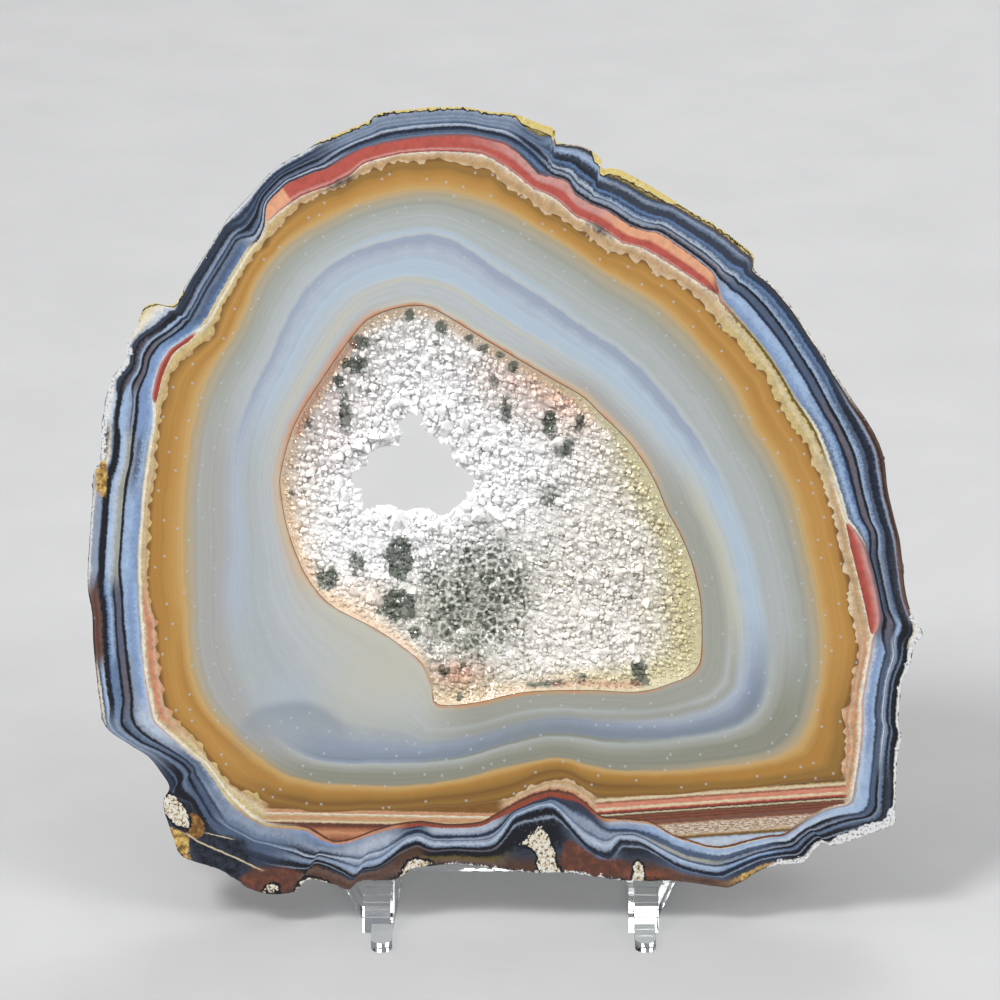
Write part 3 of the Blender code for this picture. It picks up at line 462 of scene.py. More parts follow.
# Soft bands from the crust's scalloped edge (0) to the cavity (100); the amber has half
# faded at 33 and the lavender line lies at 67
INNER_BANDS = {
    "upper": ((-18, 98), (0, 94),
        (0, 2, 7, 12, 20, 27, 33, 40, 50, 57, 61, 63.5, 65.5, 68, 72, 79, 84, 86.5, 88.5, 95, 98.5, 100),
        "umber bronze bronze ochre amber honey fade sage silver silver iceblue mist lavender "
        "lavender lilac iceblue iceblue glow mist mist glow orange"),
    "upper_right": ((25, 81), (34, 71),
        (0, 3, 10, 16, 22, 28, 34, 42, 52, 60, 63, 65, 68, 73, 80, 86, 94, 100),
        "umber ochre amber ochre amber honey fade sage silver silver mist lavender lavender "
        "iceblue iceblue mist dove sand"),
    "right": ((42, 52), (43, 38),
        (0, 3, 10, 20, 27, 34, 40, 50, 60, 66, 72, 80, 88, 100),
        "umber ochre amber amber honey fade sage silver silver iceblue iceblue glow sage sage"),
    "lower_right": ((40, 22), (32, 20),
        (0, 4, 9, 14, 22, 29, 34, 39, 50, 56, 60, 63.5, 67, 71, 76, 81, 85, 88, 100),
        "umber bronze bronze ochre ochre honey fade moss moss sage silver dusk dusk haze lilac "
        "sage silver sage sage"),
    "lower": ((14, 17), (-4, 15),
        (0, 5, 12, 16, 24, 30, 34.5, 44, 53, 57.5, 60, 63.5, 68, 74, 80, 84, 87, 96, 100),
        "umber bronze umber bronze ochre honey moss moss sage silver moss dusk dusk haze sage "
        "silver sage sage tan"),
    "lower_left": ((-20, 13), (-27, 14),
        (0, 5, 10, 14, 22, 30, 34.5, 46, 53, 58, 61, 65, 70, 78, 86, 100),
        "umber bronze umber bronze ochre honey moss moss sage silver haze dusk haze silver mist "
        "glow"),
    "left_corner": ((-38, 22), (-42, 30),
        (0, 4, 14, 24, 31, 36, 42, 55, 67, 76, 86, 100),
        "umber ochre amber ochre honey fade dove dove silver silver mist glow"),
    "left": ((-46, 42), (-45.5, 58),
        (0, 4, 12, 20, 30, 36, 42, 55, 67, 76, 90, 100),
        "umber ochre ochre amber honey fade dove dove lilac silver mist sand"),
    "upper_left": ((-39, 76), (-32, 88),
        (0, 3, 10, 18, 27, 34, 42, 54, 62, 66, 70, 78, 86, 90, 95, 100),
        "umber bronze amber ochre honey fade sage silver mist lavender lilac iceblue mist glow "
        "mist orange"),
}

# Level lines that fill the bottom: height in mm and colour
RIGHT_LEVELS = (
    (3.6, 5.4, 5.7, 5.9, 6.2, 7.6, 8.0, 8.25, 8.5, 8.7, 8.9, 9.1, 9.3, 9.5, 9.75, 9.85, 10.0,
     10.05, 10.2, 10.3, 10.5, 10.7, 10.8, 11.3, 11.5, 11.7, 11.8, 11.95, 12.1, 12.3, 12.6),
    "mist pale olive umber sand sand rust cocoa rust maroon rust maroon rust brown cream "
    "brown brown red red salmon cream cream salmon salmon rust sand cream cream tan olive umber")
LEFT_LEVELS = (
    (5.0, 5.7, 6.2, 7.3, 8.0, 8.2, 8.55, 8.7, 8.85, 9.0, 9.3, 9.4, 9.5, 9.75, 9.9, 10.05,
     10.25, 10.4, 10.6),
    "tan sand rust apricot rust maroon maroon sand cream tan tan salmon tan sand chalk tan "
    "salmon tan umber")


def linear(colour):
    """Linear values of an sRGB colour of 0 to 255."""
    channels = [c / 255 for c in colour]
    return [c / 12.92 if c <= 0.04045 else ((c + 0.055) / 1.055) ** 2.4 for c in channels]


def srgb(name):
    """A palette colour as linear values, made darker by what the studio lights add."""
    return (*[value / LIGHT_GAIN for value in linear(PALETTE[name])], 1.0)


def curve_through(points, samples=8):
    """Closed Catmull-Rom curve through outline points."""
    corners = np.array(points, float)
    before = np.roll(corners, 1, axis=0)
    after = np.roll(corners, -1, axis=0)
    beyond = np.roll(corners, -2, axis=0)
    pieces = []
    for t in np.linspace(0.0, 1.0, samples, endpoint=False):
        pieces.append(
            0.5 * (2.0 * corners + (after - before) * t
                   + (2.0 * before - 5.0 * corners + 4.0 * after - beyond) * t ** 2
                   + (3.0 * corners - before - 3.0 * after + beyond) * t ** 3)
        )
    return np.stack(pieces, axis=1).reshape(-1, 2)


def evenly_spaced(loop, count):
    """Points at equal steps along a closed loop."""
    closed = np.vstack([loop, loop[:1]])
    lengths = np.hypot(*np.diff(closed, axis=0).T)
    along = np.concatenate([[0.0], np.cumsum(lengths)])
    places = np.linspace(0.0, along[-1], count, endpoint=False)
    return np.column_stack([np.interp(places, along, closed[:, k]) for k in (0, 1)])


def polar(points, centre):
    offset = np.array(points, float) - centre
    return np.arctan2(offset[:, 1], offset[:, 0]), np.hypot(*offset.T)


def radii_at(loop, centre, angles):
    """Distance from a centre to a closed loop, in the given directions."""
    loop_angles, radii = polar(loop, centre)
    order = np.argsort(loop_angles)
    return np.interp(angles, loop_angles[order], radii[order], period=FULL_TURN)


def smoothed(values, reach):
    """Running mean over 2 x reach + 1 neighbours round a closed loop."""
    return sum(np.roll(values, k) for k in range(-reach, reach + 1)) / (2 * reach + 1)


def smooth_step(value, low, high):
    share = np.clip((value - low) / (high - low), 0.0, 1.0)
    return share * share * (3.0 - 2.0 * share)


def inward_normals(loop, turn=1.0):
    """Unit normals that point into a loop; turn is 1 if it runs clockwise and -1 if not."""
    along = np.roll(loop, -1, axis=0) - np.roll(loop, 1, axis=0)
    normals = turn * np.column_stack([along[:, 1], -along[:, 0]])
    return normals / np.maximum(np.hypot(*normals.T), 1e-9)[:, None]


def ellipse(places, centre, radii, tilt=0.0):
    """Rough distance in mm inside (+) or outside (-) an ellipse."""
    x, y = (places - np.array(centre)).T
    c, s = math.cos(math.radians(tilt)), math.sin(math.radians(tilt))
    across = np.hypot((x * c + y * s) / radii[0], (y * c - x * s) / radii[1])
    return (1.0 - across) * min(radii)


def polygon(places, corners):
    """Distance in mm inside (+) or outside (-) a polygon."""
    corners = np.array(corners, float)
    after = np.roll(corners, -1, axis=0)
    best = np.full(len(places), 1e9)
    crossings = np.zeros(len(places), int)
    for (ax, ay), (bx, by) in zip(corners, after):
        run = np.array((bx - ax, by - ay))
        offset = places - (ax, ay)
        share = np.clip(offset @ run / max(run @ run, 1e-9), 0.0, 1.0)
        best = np.minimum(best, np.hypot(*(offset - share[:, None] * run).T))
        spans = (ay > places[:, 1]) != (by > places[:, 1])
        rise = by - ay if by != ay else 1e-9
        crossings += spans & (ax + (places[:, 1] - ay) * (bx - ax) / rise > places[:, 0])
    return np.where(crossings % 2 == 1, best, -best)


def path_distance(places, points):
    """Distance in mm from an open path."""
    best = np.full(len(places), 1e9)
    for start, end in zip(points, points[1:]):
        run = np.array(end, float) - start
        offset = places - start
        share = np.clip(offset @ run / (run @ run), 0.0, 1.0)
        best = np.minimum(best, np.hypot(*(offset - share[:, None] * run).T))
    return best


def clockwise(places):
    """Angle of each place about the slab's middle, clockwise from the left."""
    angles, _ = polar(places, MIDDLE)
    return (math.pi - angles) % FULL_TURN


def stretches_in_turn(bands):
    """Start and end angle and name of each stretch of a band table, clockwise."""
    spans = []
    for name, (first, last, _, _) in bands.items():
        start, end = clockwise(np.array((first, last), float))
        spans.append((start, end if end > start else end + FULL_TURN, name))
    return sorted(spans)


def stretch_numbers(bands, places):
    """Number of the stretch at each place, plus the share of the way to the next one."""
    turns = clockwise(places)
    spans = stretches_in_turn(bands)
    numbers = np.zeros(len(places))
    for index, (start, end, _) in enumerate(spans):
        next_start = spans[(index + 1) % len(spans)][0]
        if next_start < end:
            next_start += FULL_TURN
        for turn in (turns, turns + FULL_TURN):
            inside = (turn >= start) & (turn < next_start)
            numbers = np.where(inside, index + smooth_step(turn, end, next_start), numbers)
    return numbers


def stretch_weights(bands, places):
    """How much each named stretch of a band table counts at each place."""
    numbers = stretch_numbers(bands, places)
    count = len(bands)
    weights = {}
    for index, (_, _, name) in enumerate(stretches_in_turn(bands)):
        away = np.abs((numbers - index + count / 2) % count - count / 2)
        weights[name] = np.clip(1.0 - away, 0.0, 1.0)
    return weights


class Outlines:
    """The slab's outlines as distances from its middle, in STATIONS directions."""

    def __init__(self):
        rim_curve = curve_through(RIM_OUTLINE)
        angles, _ = polar(evenly_spaced(rim_curve, STATIONS), MIDDLE)
        self.angles = np.sort(angles) + np.arange(STATIONS) * 1e-7
        fine = np.linspace(-math.pi, math.pi, FINE_ANGLES, endpoint=False)

        def contour(points, reach=0):
            return smoothed(radii_at(points, MIDDLE, fine), reach)

        rim = contour(rim_curve)
        blue = np.minimum(contour(BLUE_EDGE, 5), rim - 1.5)
        red = blue.copy()
        for stretch in RED_STRETCHES:
            angles, radii = polar(stretch, MIDDLE)
            order = np.argsort(angles)
            within = (fine >= angles.min()) & (fine <= angles.max())
            red[within] = np.interp(fine, angles[order], radii[order])[within]
        red = np.minimum(smoothed(red, 4), blue - 0.3)
        tan = np.minimum(contour(CRUST_EDGE, 3), red - 0.6)
        fade = smoothed(np.minimum(contour(AMBER_FADE, 30), tan - 1.5), 10)
        cavity = contour(curve_through(CAVITY_OUTLINE))
        lavender = np.clip(contour(LAVENDER_LINE, 30), cavity + 1.2, fade - 1.2)
        lavender = smoothed(lavender, 16)
        fine_contours = [rim, blue, red, tan, fade, lavender, cavity]
        self.contours = [
            np.interp(self.angles, fine, radii, period=FULL_TURN) for radii in fine_contours]
        self.contours[0] = radii_at(rim_curve, MIDDLE, self.angles)
        self.contours[-1] = radii_at(curve_through(CAVITY_OUTLINE), MIDDLE, self.angles)
        self.rim = self.contours[0]
        self.red_width = self.contours[1] - self.contours[2]

    def points(self, radii):
        return MIDDLE + radii[:, None] * np.column_stack(
            [np.cos(self.angles), np.sin(self.angles)])

    def beyond(self, places, contour):
        """Distance in mm outside one of the contours, seen from the middle."""
        angles, radii = polar(places, MIDDLE)
        return radii - np.interp(angles, self.angles, self.contours[contour],
                                 period=FULL_TURN)

    def blue_lines(self):
        """Share of the way from rim to blue edge of each blue line, at each station."""
        rim = self.points(self.rim)
        weights = stretch_weights(BLUE_BANDS, rim)
        shares = np.zeros((BLUE_LINES, STATIONS))
        for name, (_, _, percents, _) in BLUE_BANDS.items():
            shares += np.array(percents)[:, None] / 100 * weights[name]
        for k in range(1, BLUE_LINES - 1):
            for station, (u, v) in enumerate(rim):
                wander = noise.noise(Vector((u * 0.3, v * 0.3, k * 0.3)))
                shares[k, station] += 0.016 * wander
        for k in range(1, BLUE_LINES):
            shares[k] = np.maximum(shares[k], shares[k - 1] + 0.003)
        return shares / shares[-1]


class Bowl:
    """The bowl's wall: cavity outline in front, opening of the back face behind."""

    def __init__(self, edge):
        angles, radii = polar(edge, HOLE_CENTRE)
        hole = curve_through(HOLE_OUTLINE)
        wall = evenly_spaced(curve_through(CAVITY_OUTLINE), 72)
        wall_angles, _ = polar(wall, HOLE_CENTRE)
        hole_radii = radii_at(hole, HOLE_CENTRE, wall_angles)
        opening = np.maximum(smoothed(hole_radii, 4) + LIP, hole_radii + 0.6 * LIP)
        order = np.argsort(wall_angles)
        self.table = wall_angles[order], opening[order]
        self.angles = angles
        self.cavity_radii = radii
        self.opening_radii = np.interp(angles, *self.table, period=FULL_TURN)
        self.hole_radii = radii_at(hole, HOLE_CENTRE, angles)

    def points(self, radii):
        return HOLE_CENTRE + radii[:, None] * np.column_stack(
            [np.cos(self.angles), np.sin(self.angles)])

    def wall(self, share, clearance=0.0):
        radii = self.cavity_radii + (self.opening_radii - self.cavity_radii) * share
        return self.points(radii - clearance)


def bowl_depth(share):
    return BOWL_DEPTH * SLAB_THICKNESS * math.sqrt(1.0 - (1.0 - share) ** 2)


def cad_rim_pit(x, y, share):
    """Depth of the rough rind's lumps and pits, the same as on the solid."""
    place = Vector((x, y, 1.4 * share * SLAB_THICKNESS)) / RIM_LUMP_SIZE
    pit = 1.5 * abs(noise.noise(place)) + 0.9 * abs(noise.noise(place * 2.3))
    return RIM_PIT * min(1.0, pit) * math.sin(math.pi * share) ** 0.7


def cad_middle_across():
    """Middle of the solid's rim between its left and right, on the slab's face."""
    outline = evenly_spaced(curve_through(RIM_OUTLINE), CAD_RIM_POINTS)
    normals = inward_normals(outline)
    across = []
    for share in RIM_DEPTHS:
        for (x, y), normal in zip(outline, normals):
            depth = EDGE_CHAMFER if share in (0.0, 1.0) else cad_rim_pit(x, y, share)
            across.append(x + normal[0] * depth)
    return (min(across) + max(across)) / 2


def slab_placement():
    """From slab millimetres (u, v, w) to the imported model's metres."""
    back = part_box("stand_left_leg")[0].y / MM - TOE_TIP
    c, s = math.cos(SLAB_LEAN), math.sin(SLAB_LEAN)
    return MM * np.array((
        (1.0, 0.0, 0.0, -cad_middle_across()),
        (0.0, s, c, back),
        (0.0, c, -s, SEAT_TOP),
    ))


def placed(points, placement):
    return np.asarray(points) @ placement[:, :3].T + placement[:, 3]


def mesh_from(name, points, faces):
    """A mesh object from world points and faces, its faces turned outwards."""
    mesh = bpy.data.meshes.new(name)
    mesh.from_pydata(np.asarray(points).tolist(), [], np.asarray(faces).tolist())
    builder = bmesh.new()
    builder.from_mesh(mesh)
    bmesh.ops.recalc_face_normals(builder, faces=builder.faces)
    builder.to_mesh(mesh)
    builder.free()
    obj = bpy.data.objects.new(name, mesh)
    bpy.context.scene.collection.objects.link(obj)
    return obj


def set_attribute(mesh, name, values):
    """A named value, or a triple of them, at each vertex."""
    values = np.asarray(values, np.float32)
    if values.ndim == 1:
        layer = mesh.attributes.new(name, "FLOAT", "POINT")
        layer.data.foreach_set("value", values)
    else:
        layer = mesh.attributes.new(name, "FLOAT_VECTOR", "POINT")
        layer.data.foreach_set("vector", values.ravel())


def set_round_attribute(mesh, name, values, period):
    """A number that counts up round the slab, kept level across the place where it restarts."""
    corners = np.zeros(len(mesh.loops), np.int32)
    mesh.loops.foreach_get("vertex_index", corners)
    faces = values[corners].reshape(-1, 4)
    restarts = np.ptp(faces, axis=1, keepdims=True) > period / 2
    faces = np.where(restarts & (faces < period / 2), faces + period, faces)
    layer = mesh.attributes.new(name, "FLOAT", "CORNER")
    layer.data.foreach_set("value", faces.ravel().astype(np.float32))


def ring_faces(rings, stations):
    """Quads between neighbouring rings of the same length, the last joined to the first."""
    here = np.arange(stations)
    after = (here + 1) % stations
    faces = []
    for k in range(rings):
        first = k * stations
        second = ((k + 1) % rings) * stations
        faces.append(np.column_stack(
            [first + here, first + after, second + after, second + here]))
    return np.vstack(faces)


class Nodes:
    """Short forms for building a material's nodes."""

    def __init__(self, name):
        self.material = bpy.data.materials.new(name)
        self.material.use_nodes = True
        self.tree = self.material.node_tree
        self.shader = self.tree.nodes["Principled BSDF"]

    def add(self, kind, settings=None, **inputs):
        node = self.tree.nodes.new(kind)
        for key, value in (settings or {}).items():
            setattr(node, key, value)
        for key, value in inputs.items():
            self.plug(node.inputs[key.replace("_", " ")], value)
        return node

    def plug(self, socket, value):
        if isinstance(value, bpy.types.NodeSocket):
            self.tree.links.new(value, socket)
        else:
            socket.default_value = value

    def attribute(self, name, output="Fac"):
        return self.add("ShaderNodeAttribute", {"attribute_name": name}).outputs[output]

    def math(self, operation, first, second=0.0, third=0.0, clamp=False):
        node = self.add("ShaderNodeMath", {"operation": operation, "use_clamp": clamp})
        for socket, value in zip(node.inputs, (first, second, third)):
            self.plug(socket, value)
        return node.outputs[0]

    def stretched(self, place, factors):
        node = self.add("ShaderNodeVectorMath", {"operation": "MULTIPLY"})
        self.plug(node.inputs[0], place)
        self.plug(node.inputs[1], factors)
        return node.outputs[0]

    def combine(self, x, y):
        return self.add("ShaderNodeCombineXYZ", X=x, Y=y).outputs[0]

    def noise(self, place, scale, detail=3.0, roughness=0.55, solid=False):
        """Noise that goes straight through the slab, or is different at each depth."""
        node = self.add("ShaderNodeTexNoise", {"noise_dimensions": "3D" if solid else "2D"},
                        Vector=place, Scale=scale, Detail=detail, Roughness=roughness)
        return node.outputs["Fac"]

    def cells(self, place, scale, feature="F1"):
        node = self.add("ShaderNodeTexVoronoi",
                        {"feature": feature, "voronoi_dimensions": "2D"},
                        Vector=place, Scale=scale)
        return node.outputs["Distance"]

    def step(self, value, low, high):
        """0 at low and 1 at high, with a soft change between."""
        node = self.add("ShaderNodeMapRange", {"interpolation_type": "SMOOTHSTEP"})
        self.plug(node.inputs["Value"], value)
        node.inputs["From Min"].default_value = low
        node.inputs["From Max"].default_value = high
        return node.outputs[0]

    def ramp(self, value, stops):
        """Palette colours, or greys, along a value."""
        node = self.add("ShaderNodeValToRGB", Fac=value)
        points = node.color_ramp.elements
        while len(points) < len(stops):
            points.new(1.0)
        for point, (place, _) in zip(points, stops):
            point.position = place
        for point, (_, tone) in zip(points, stops):
            point.color = srgb(tone) if isinstance(tone, str) else (tone, tone, tone, 1.0)
        return node.outputs["Color"]

    def levels(self, height, heights, names):
        """Palette colours at heights in mm."""
        low, high = heights[0], heights[-1]
        share = self.math("DIVIDE", self.math("SUBTRACT", height, low), high - low)
        stops = [((h - low) / (high - low), name) for h, name in zip(heights, names.split())]
        return self.ramp(share, stops)

    def banded(self, kind, share, even=False):
        """Colours of a band table, blended from one stretch to the next round the slab."""
        bands = BAND_TABLES[kind]
        number = self.attribute(kind)
        total = (0.0, 0.0, 0.0, 1.0)
        for index, (_, _, stretch) in enumerate(stretches_in_turn(bands)):
            _, _, percents, names = bands[stretch]
            names = names.split()
            if even:
                places = [k / (len(names) - 1) for k in range(len(names))]
            else:
                places = [percent / 100 for percent in percents]
            away = self.math("ABSOLUTE", self.math("SUBTRACT", number, float(index)))
            if index == 0:
                last = self.math("ABSOLUTE", self.math("SUBTRACT", number, float(len(bands))))
                away = self.math("MINIMUM", away, last)
            weight = self.math("SUBTRACT", 1.0, away, clamp=True)
            colour = self.ramp(share, list(zip(places, names)))
            total = self.mix(weight, total, colour, "ADD")
        return total

    def mix(self, share, first, second, blend="MIX"):
        node = self.add("ShaderNodeMix", {"data_type": "RGBA", "blend_type": blend})
        self.plug(node.inputs["Factor"], share)
        self.plug(node.inputs[6], srgb(first) if isinstance(first, str) else first)
        self.plug(node.inputs[7], srgb(second) if isinstance(second, str) else second)
        return node.outputs[2]

    def line(self, distance, half_width):
        """1 on a line, falling to 0 at its sides."""
        return self.step(self.math("ABSOLUTE", distance), half_width * 1.4, half_width * 0.6)

    def bump(self, height, strength, distance):
        node = self.add("ShaderNodeBump", Strength=strength, Distance=distance * MM,
                        Height=height)
        return node.outputs[0]

    def finish(self, **inputs):
        for key, value in inputs.items():
            self.plug(self.shader.inputs[key.replace("_", " ")], value)
        return self.material


CHALK_SHAPES = (
    (5.8, 8.6), (6.8, 7.5), (6.3, 6.5), (7.2, 4.8), (7, 3.5), (8.3, 1.8), (7.5, 1.3),
    (5.2, 1.5), (5, 2.6), (4.4, 3.3), (5, 4.2), (4, 5.3), (2.3, 5.8), (3.2, 6.8), (4.2, 7.9),
)


def inclusion_fields(places):
    """Signed distances in mm to the kinds of inclusions along the bottom of the slab."""
    def nearest(*fields):
        return np.maximum.reduce(fields)

    chalk = nearest(
        polygon(places, CHALK_SHAPES),
        ellipse(places, (-46.9, 10.4), (1.25, 2.7), 35),
        polygon(places, ((-30, -1), (-28.3, 1), (-25, 0.2), (-27, -0.6))),
        polygon(places, ((-34.4, -1.2), (-33.6, 0), (-32.2, -0.2), (-32, -1.4))),
        polygon(places, ((-15, 1.0), (-13.8, 3.1), (-12.5, 3.6), (-10.3, 3), (-12, 2.1))),
        polygon(places, ((18.4, 0), (18.6, 3.0), (19.4, 3.3), (20, 2.2), (19.9, 0.1))),
    )
    maroon = nearest(
        polygon(places, ((-38, 0.1), (-36.4, 2.2), (-34.5, 2.4), (-31, 2.3), (-29, 1.7),
                         (-30, -0.5), (-33, -1.8), (-37, -0.8))),
        polygon(places, ((8.2, 2), (8.4, 5.6), (9.5, 6.4), (11.6, 5), (13.5, 3.6), (18, 3.4),
                         (17, 1.2), (12, 0.9))),
    )
    dark = nearest(
        ellipse(places, (-32.4, -0.6), (2.6, 0.7), 8),
        polygon(places, ((-46, 6.6), (-45, 7.6), (-37, 6.4), (-36, 2.6), (-38, 0.4),
                         (-43.6, 2.8), (-44.6, 5.2))),
        ellipse(places, (-57.0, 64), (0.5, 1.7)),
        ellipse(places, (-23.3, 100.2), (1.7, 0.35), 24),
        ellipse(places, (13.6, 93.5), (1.3, 0.45), -32),
    )
    ochre = nearest(
        polygon(places, ((-48.8, 8.5), (-47.4, 6.0), (-46.4, 3.8), (-44.5, 3), (-45.1, 6.5),
                         (-46, 7.6))),
        polygon(places, ((33.4, 0.2), (34, 1.5), (36.6, 1.6), (37, 1.4))),
        ellipse(places, (-57.5, 58.2), (0.8, 3.1)),
    )
    eye = ellipse(places, (-44.4, 8.3), (1.5, 1.9), 30)
    u, v = places.T
    crack = v - np.interp(u, (-45.3, -44, -41.5, -38, -34.5), (7.3, 6.2, 5.1, 3.6, 1.9))
    hair = v - np.interp(u, (-42.5, -38.8), (7.3, 6.4))
    return {"chalk": chalk, "maroon": maroon, "dark": dark, "ochre": ochre, "eye": eye,
            "crack": crack, "hair": hair,
            "crack_span": smooth_step(u, -45.6, -45.0) * smooth_step(-u, 34.2, 35.2),
            "hair_span": smooth_step(u, -42.9, -42.2) * smooth_step(-u, 38.4, 39.2)}


def rind_fields(places, rind):
    """How far the yellow rind and the white frost reach in from the rim, in mm."""
    def stretch(points, width):
        return width * (1.0 - smooth_step(path_distance(places, points), 1.0, 3.4))

    yellow = np.maximum.reduce((
        stretch(((-25, 107), (-12, 111), (-2, 110.6), (3, 109.6)), 0.5),
        stretch(((4, 109.2), (7, 108)), 1.3),
        stretch(((14, 102.6), (23, 98.7)), 1.15),
        stretch(((27, 96.4), (35.8, 90)), 0.4),
        stretch(((-49.5, 83.2), (-47.5, 83.2)), 0.5),
    ))
    frost = np.maximum.reduce((
        stretch(((-57.8, 62), (-56.4, 72), (-54.4, 76)), 0.9),
        stretch(((-59.4, 44), (-59.2, 54)), 0.35),
        stretch(((-47, 84), (-36, 99), (-27, 106)), 0.25),
        stretch(((55.9, 9), (56.2, 17), (56.6, 24)), 0.45),
        stretch(((49, 6), (52, 7), (55.8, 8.8)), 1.9),
        stretch(((43.5, 4.4), (47, 5.5)), 0.7),
        stretch(((40, 2.7), (42, 3.0)), 0.9),
        stretch(((58.5, 32), (60, 35.7), (59.2, 37.2)), 1.0),
        stretch(((57.2, 28), (58.3, 31)), 0.35),
        stretch(((-7, 2.6), (10, 1.4), (17, 0.4)), 0.4),
        stretch(((37, 87.5), (44, 78.5), (52, 66.4)), 0.12),
    ))
    pale = np.maximum(
        stretch(((-47, 84), (-36, 99), (-27, 106)), 0.85),
        stretch(((-57.8, 62), (-56.4, 72), (-52, 81)), 0.75),
    )
    return {"yellow_rind": yellow - rind, "frost": frost - rind, "pale_rind": pale}


def water_fields(places, outlines):
    """Level lines that fill the bottom, between the blue edge and the crust edge."""
    u, v = places.T
    right = smooth_step(u, 12.9, 13.3) * smooth_step(-u, -49.0, -48.6)
    left = smooth_step(-u, -0.6, 1.2) * smooth_step(u, -34.5, -33.4)
    low = smooth_step(-v, -15.6, -15.2)
    return {
        "water_right": right * low,
        "water_left": left * low,
        "lobed": 1.0 - np.maximum(right, left) * low,
        "level_right": v - 0.07 * (u - 13.0),
        "level_left": v + 0.02 * (u + 20.0),
    }


def soft_fields(places):
    """Glows and faint lines in the inner bands, and a crescent low on the left."""
    def glow(centre, radii):
        x, y = ((places - centre) / radii).T
        return np.exp(-(x * x + y * y))

    return {
        "cream_glow": glow((-18, 29.5), (9, 6)),
        "lilac_glow": glow((-31, 27), (4.5, 5)) + 0.6 * glow((-37, 40), (2.5, 9)),
        "dark_glow": glow((0, 22.5), (10, 2.2)) + 0.8 * glow((22, 24.5), (10, 1.6)),
        "crescent": ellipse(places, (-30, 19), (9.5, 7.8), -8),
    }


def agate_slab(outlines, bowl, placement):
    """The slice: banded faces, rough rim and bowl, one closed mesh."""
    rings = []
    bands = []
    sides = []
    rim = outlines.rim
    contours = [rim - EDGE_CHAMFER * 1.1] + outlines.contours[1:]
    blue = outlines.blue_lines()

    def add_ring(points, depth, band, side=0.0):
        rings.append(np.column_stack([points, np.full(len(points), depth)]))
        bands.append(np.full(len(points), float(band)))
        sides.append(np.full(len(points), side))

    def face_rings(rows):
        """Rings of a flat face from its rim to the cavity, with their band numbers."""
        for k in range(BLUE_LINES - 1):
            radii = contours[0] + (contours[1] - contours[0]) * blue[k]
            yield outlines.points(radii), k / (BLUE_LINES - 1)
        for zone, count in enumerate(rows, 1):
            for row in range(count):
                radii = contours[zone] + (contours[zone + 1] - contours[zone]) * row / count
                yield outlines.points(radii), zone + row / count

    for points, band in face_rings(FRONT_ROWS):
        add_ring(points, 0.0, band)
    for share in (0.0, 0.01, 0.04, 0.12, 0.3, 0.6, 1.0):
        add_ring(bowl.wall(share), bowl_depth(share), 6.0 + 0.9 * share)
    opening = bowl.wall(1.0)
    edge = outlines.points(contours[-1])
    for share in (0.0, 0.1, 0.3, 0.6, 1.0):
        add_ring(opening + (edge - opening) * share, SLAB_THICKNESS, 6.9 - 0.9 * share)
    for points, band in reversed(list(face_rings(BACK_ROWS))):
        add_ring(points, SLAB_THICKNESS, band)

    outline = outlines.points(rim)
    normals = inward_normals(outline, turn=-1.0)
    smooth_normals = np.column_stack([smoothed(normals[:, k], 3) for k in (0, 1)])
    for row in range(RIM_ROWS, 0, -1):
        share = 0.03 + 0.94 * (row - 0.5) / RIM_ROWS
        points = []
        for (x, y), normal in zip(outline, smooth_normals):
            depth = cad_rim_pit(x, y, share)
            place = Vector((x, y, share * SLAB_THICKNESS))
            fine = noise.fractal(place * 0.9, 0.8, 2.1, 4)
            grit = noise.noise(place * 3.1)
            depth += (0.28 * abs(fine) + 0.12 * abs(grit)) * math.sin(math.pi * share) ** 0.5
            points.append((x + normal[0] * depth, y + normal[1] * depth))
        add_ring(np.array(points), share * SLAB_THICKNESS, 0.0, 1.0)

    local = np.vstack(rings)
    count = len(rings)
    obj = mesh_from("agate_banded_slab", placed(local, placement), ring_faces(count, STATIONS))
    mesh = obj.data
    places = local[:, :2]
    rind = -outlines.beyond(places, 0)
    fields = {
        "slab_place": local,
        "band": np.concatenate(bands),
        "rim_side": np.concatenate(sides),
        "front": np.where(local[:, 2] < 0.5 * SLAB_THICKNESS, 1.0, 0.0),
        "red_share": smooth_step(np.tile(outlines.red_width, count), 0.35, 0.6),
        "out_of_blue": outlines.beyond(places, 1),
        "out_of_crust": outlines.beyond(places, 3),
        "out_of_cavity": outlines.beyond(places, 6),
    }
    fields.update(inclusion_fields(places))
    fields.update(rind_fields(places, rind))
    fields.update(water_fields(places, outlines))
    fields.update(soft_fields(places))
    for name, values in fields.items():
        set_attribute(mesh, name, values)
    for name, table in BAND_TABLES.items():
        set_round_attribute(mesh, name, stretch_numbers(table, places), len(table))
    mesh.shade_smooth()
    mesh.set_sharp_from_angle(angle=math.radians(38))
    return obj


BAND_TABLES = {"blue_round": BLUE_BANDS, "red_round": RED_BANDS, "crust_round": CRUST_BANDS,
               "inner_round": INNER_BANDS}


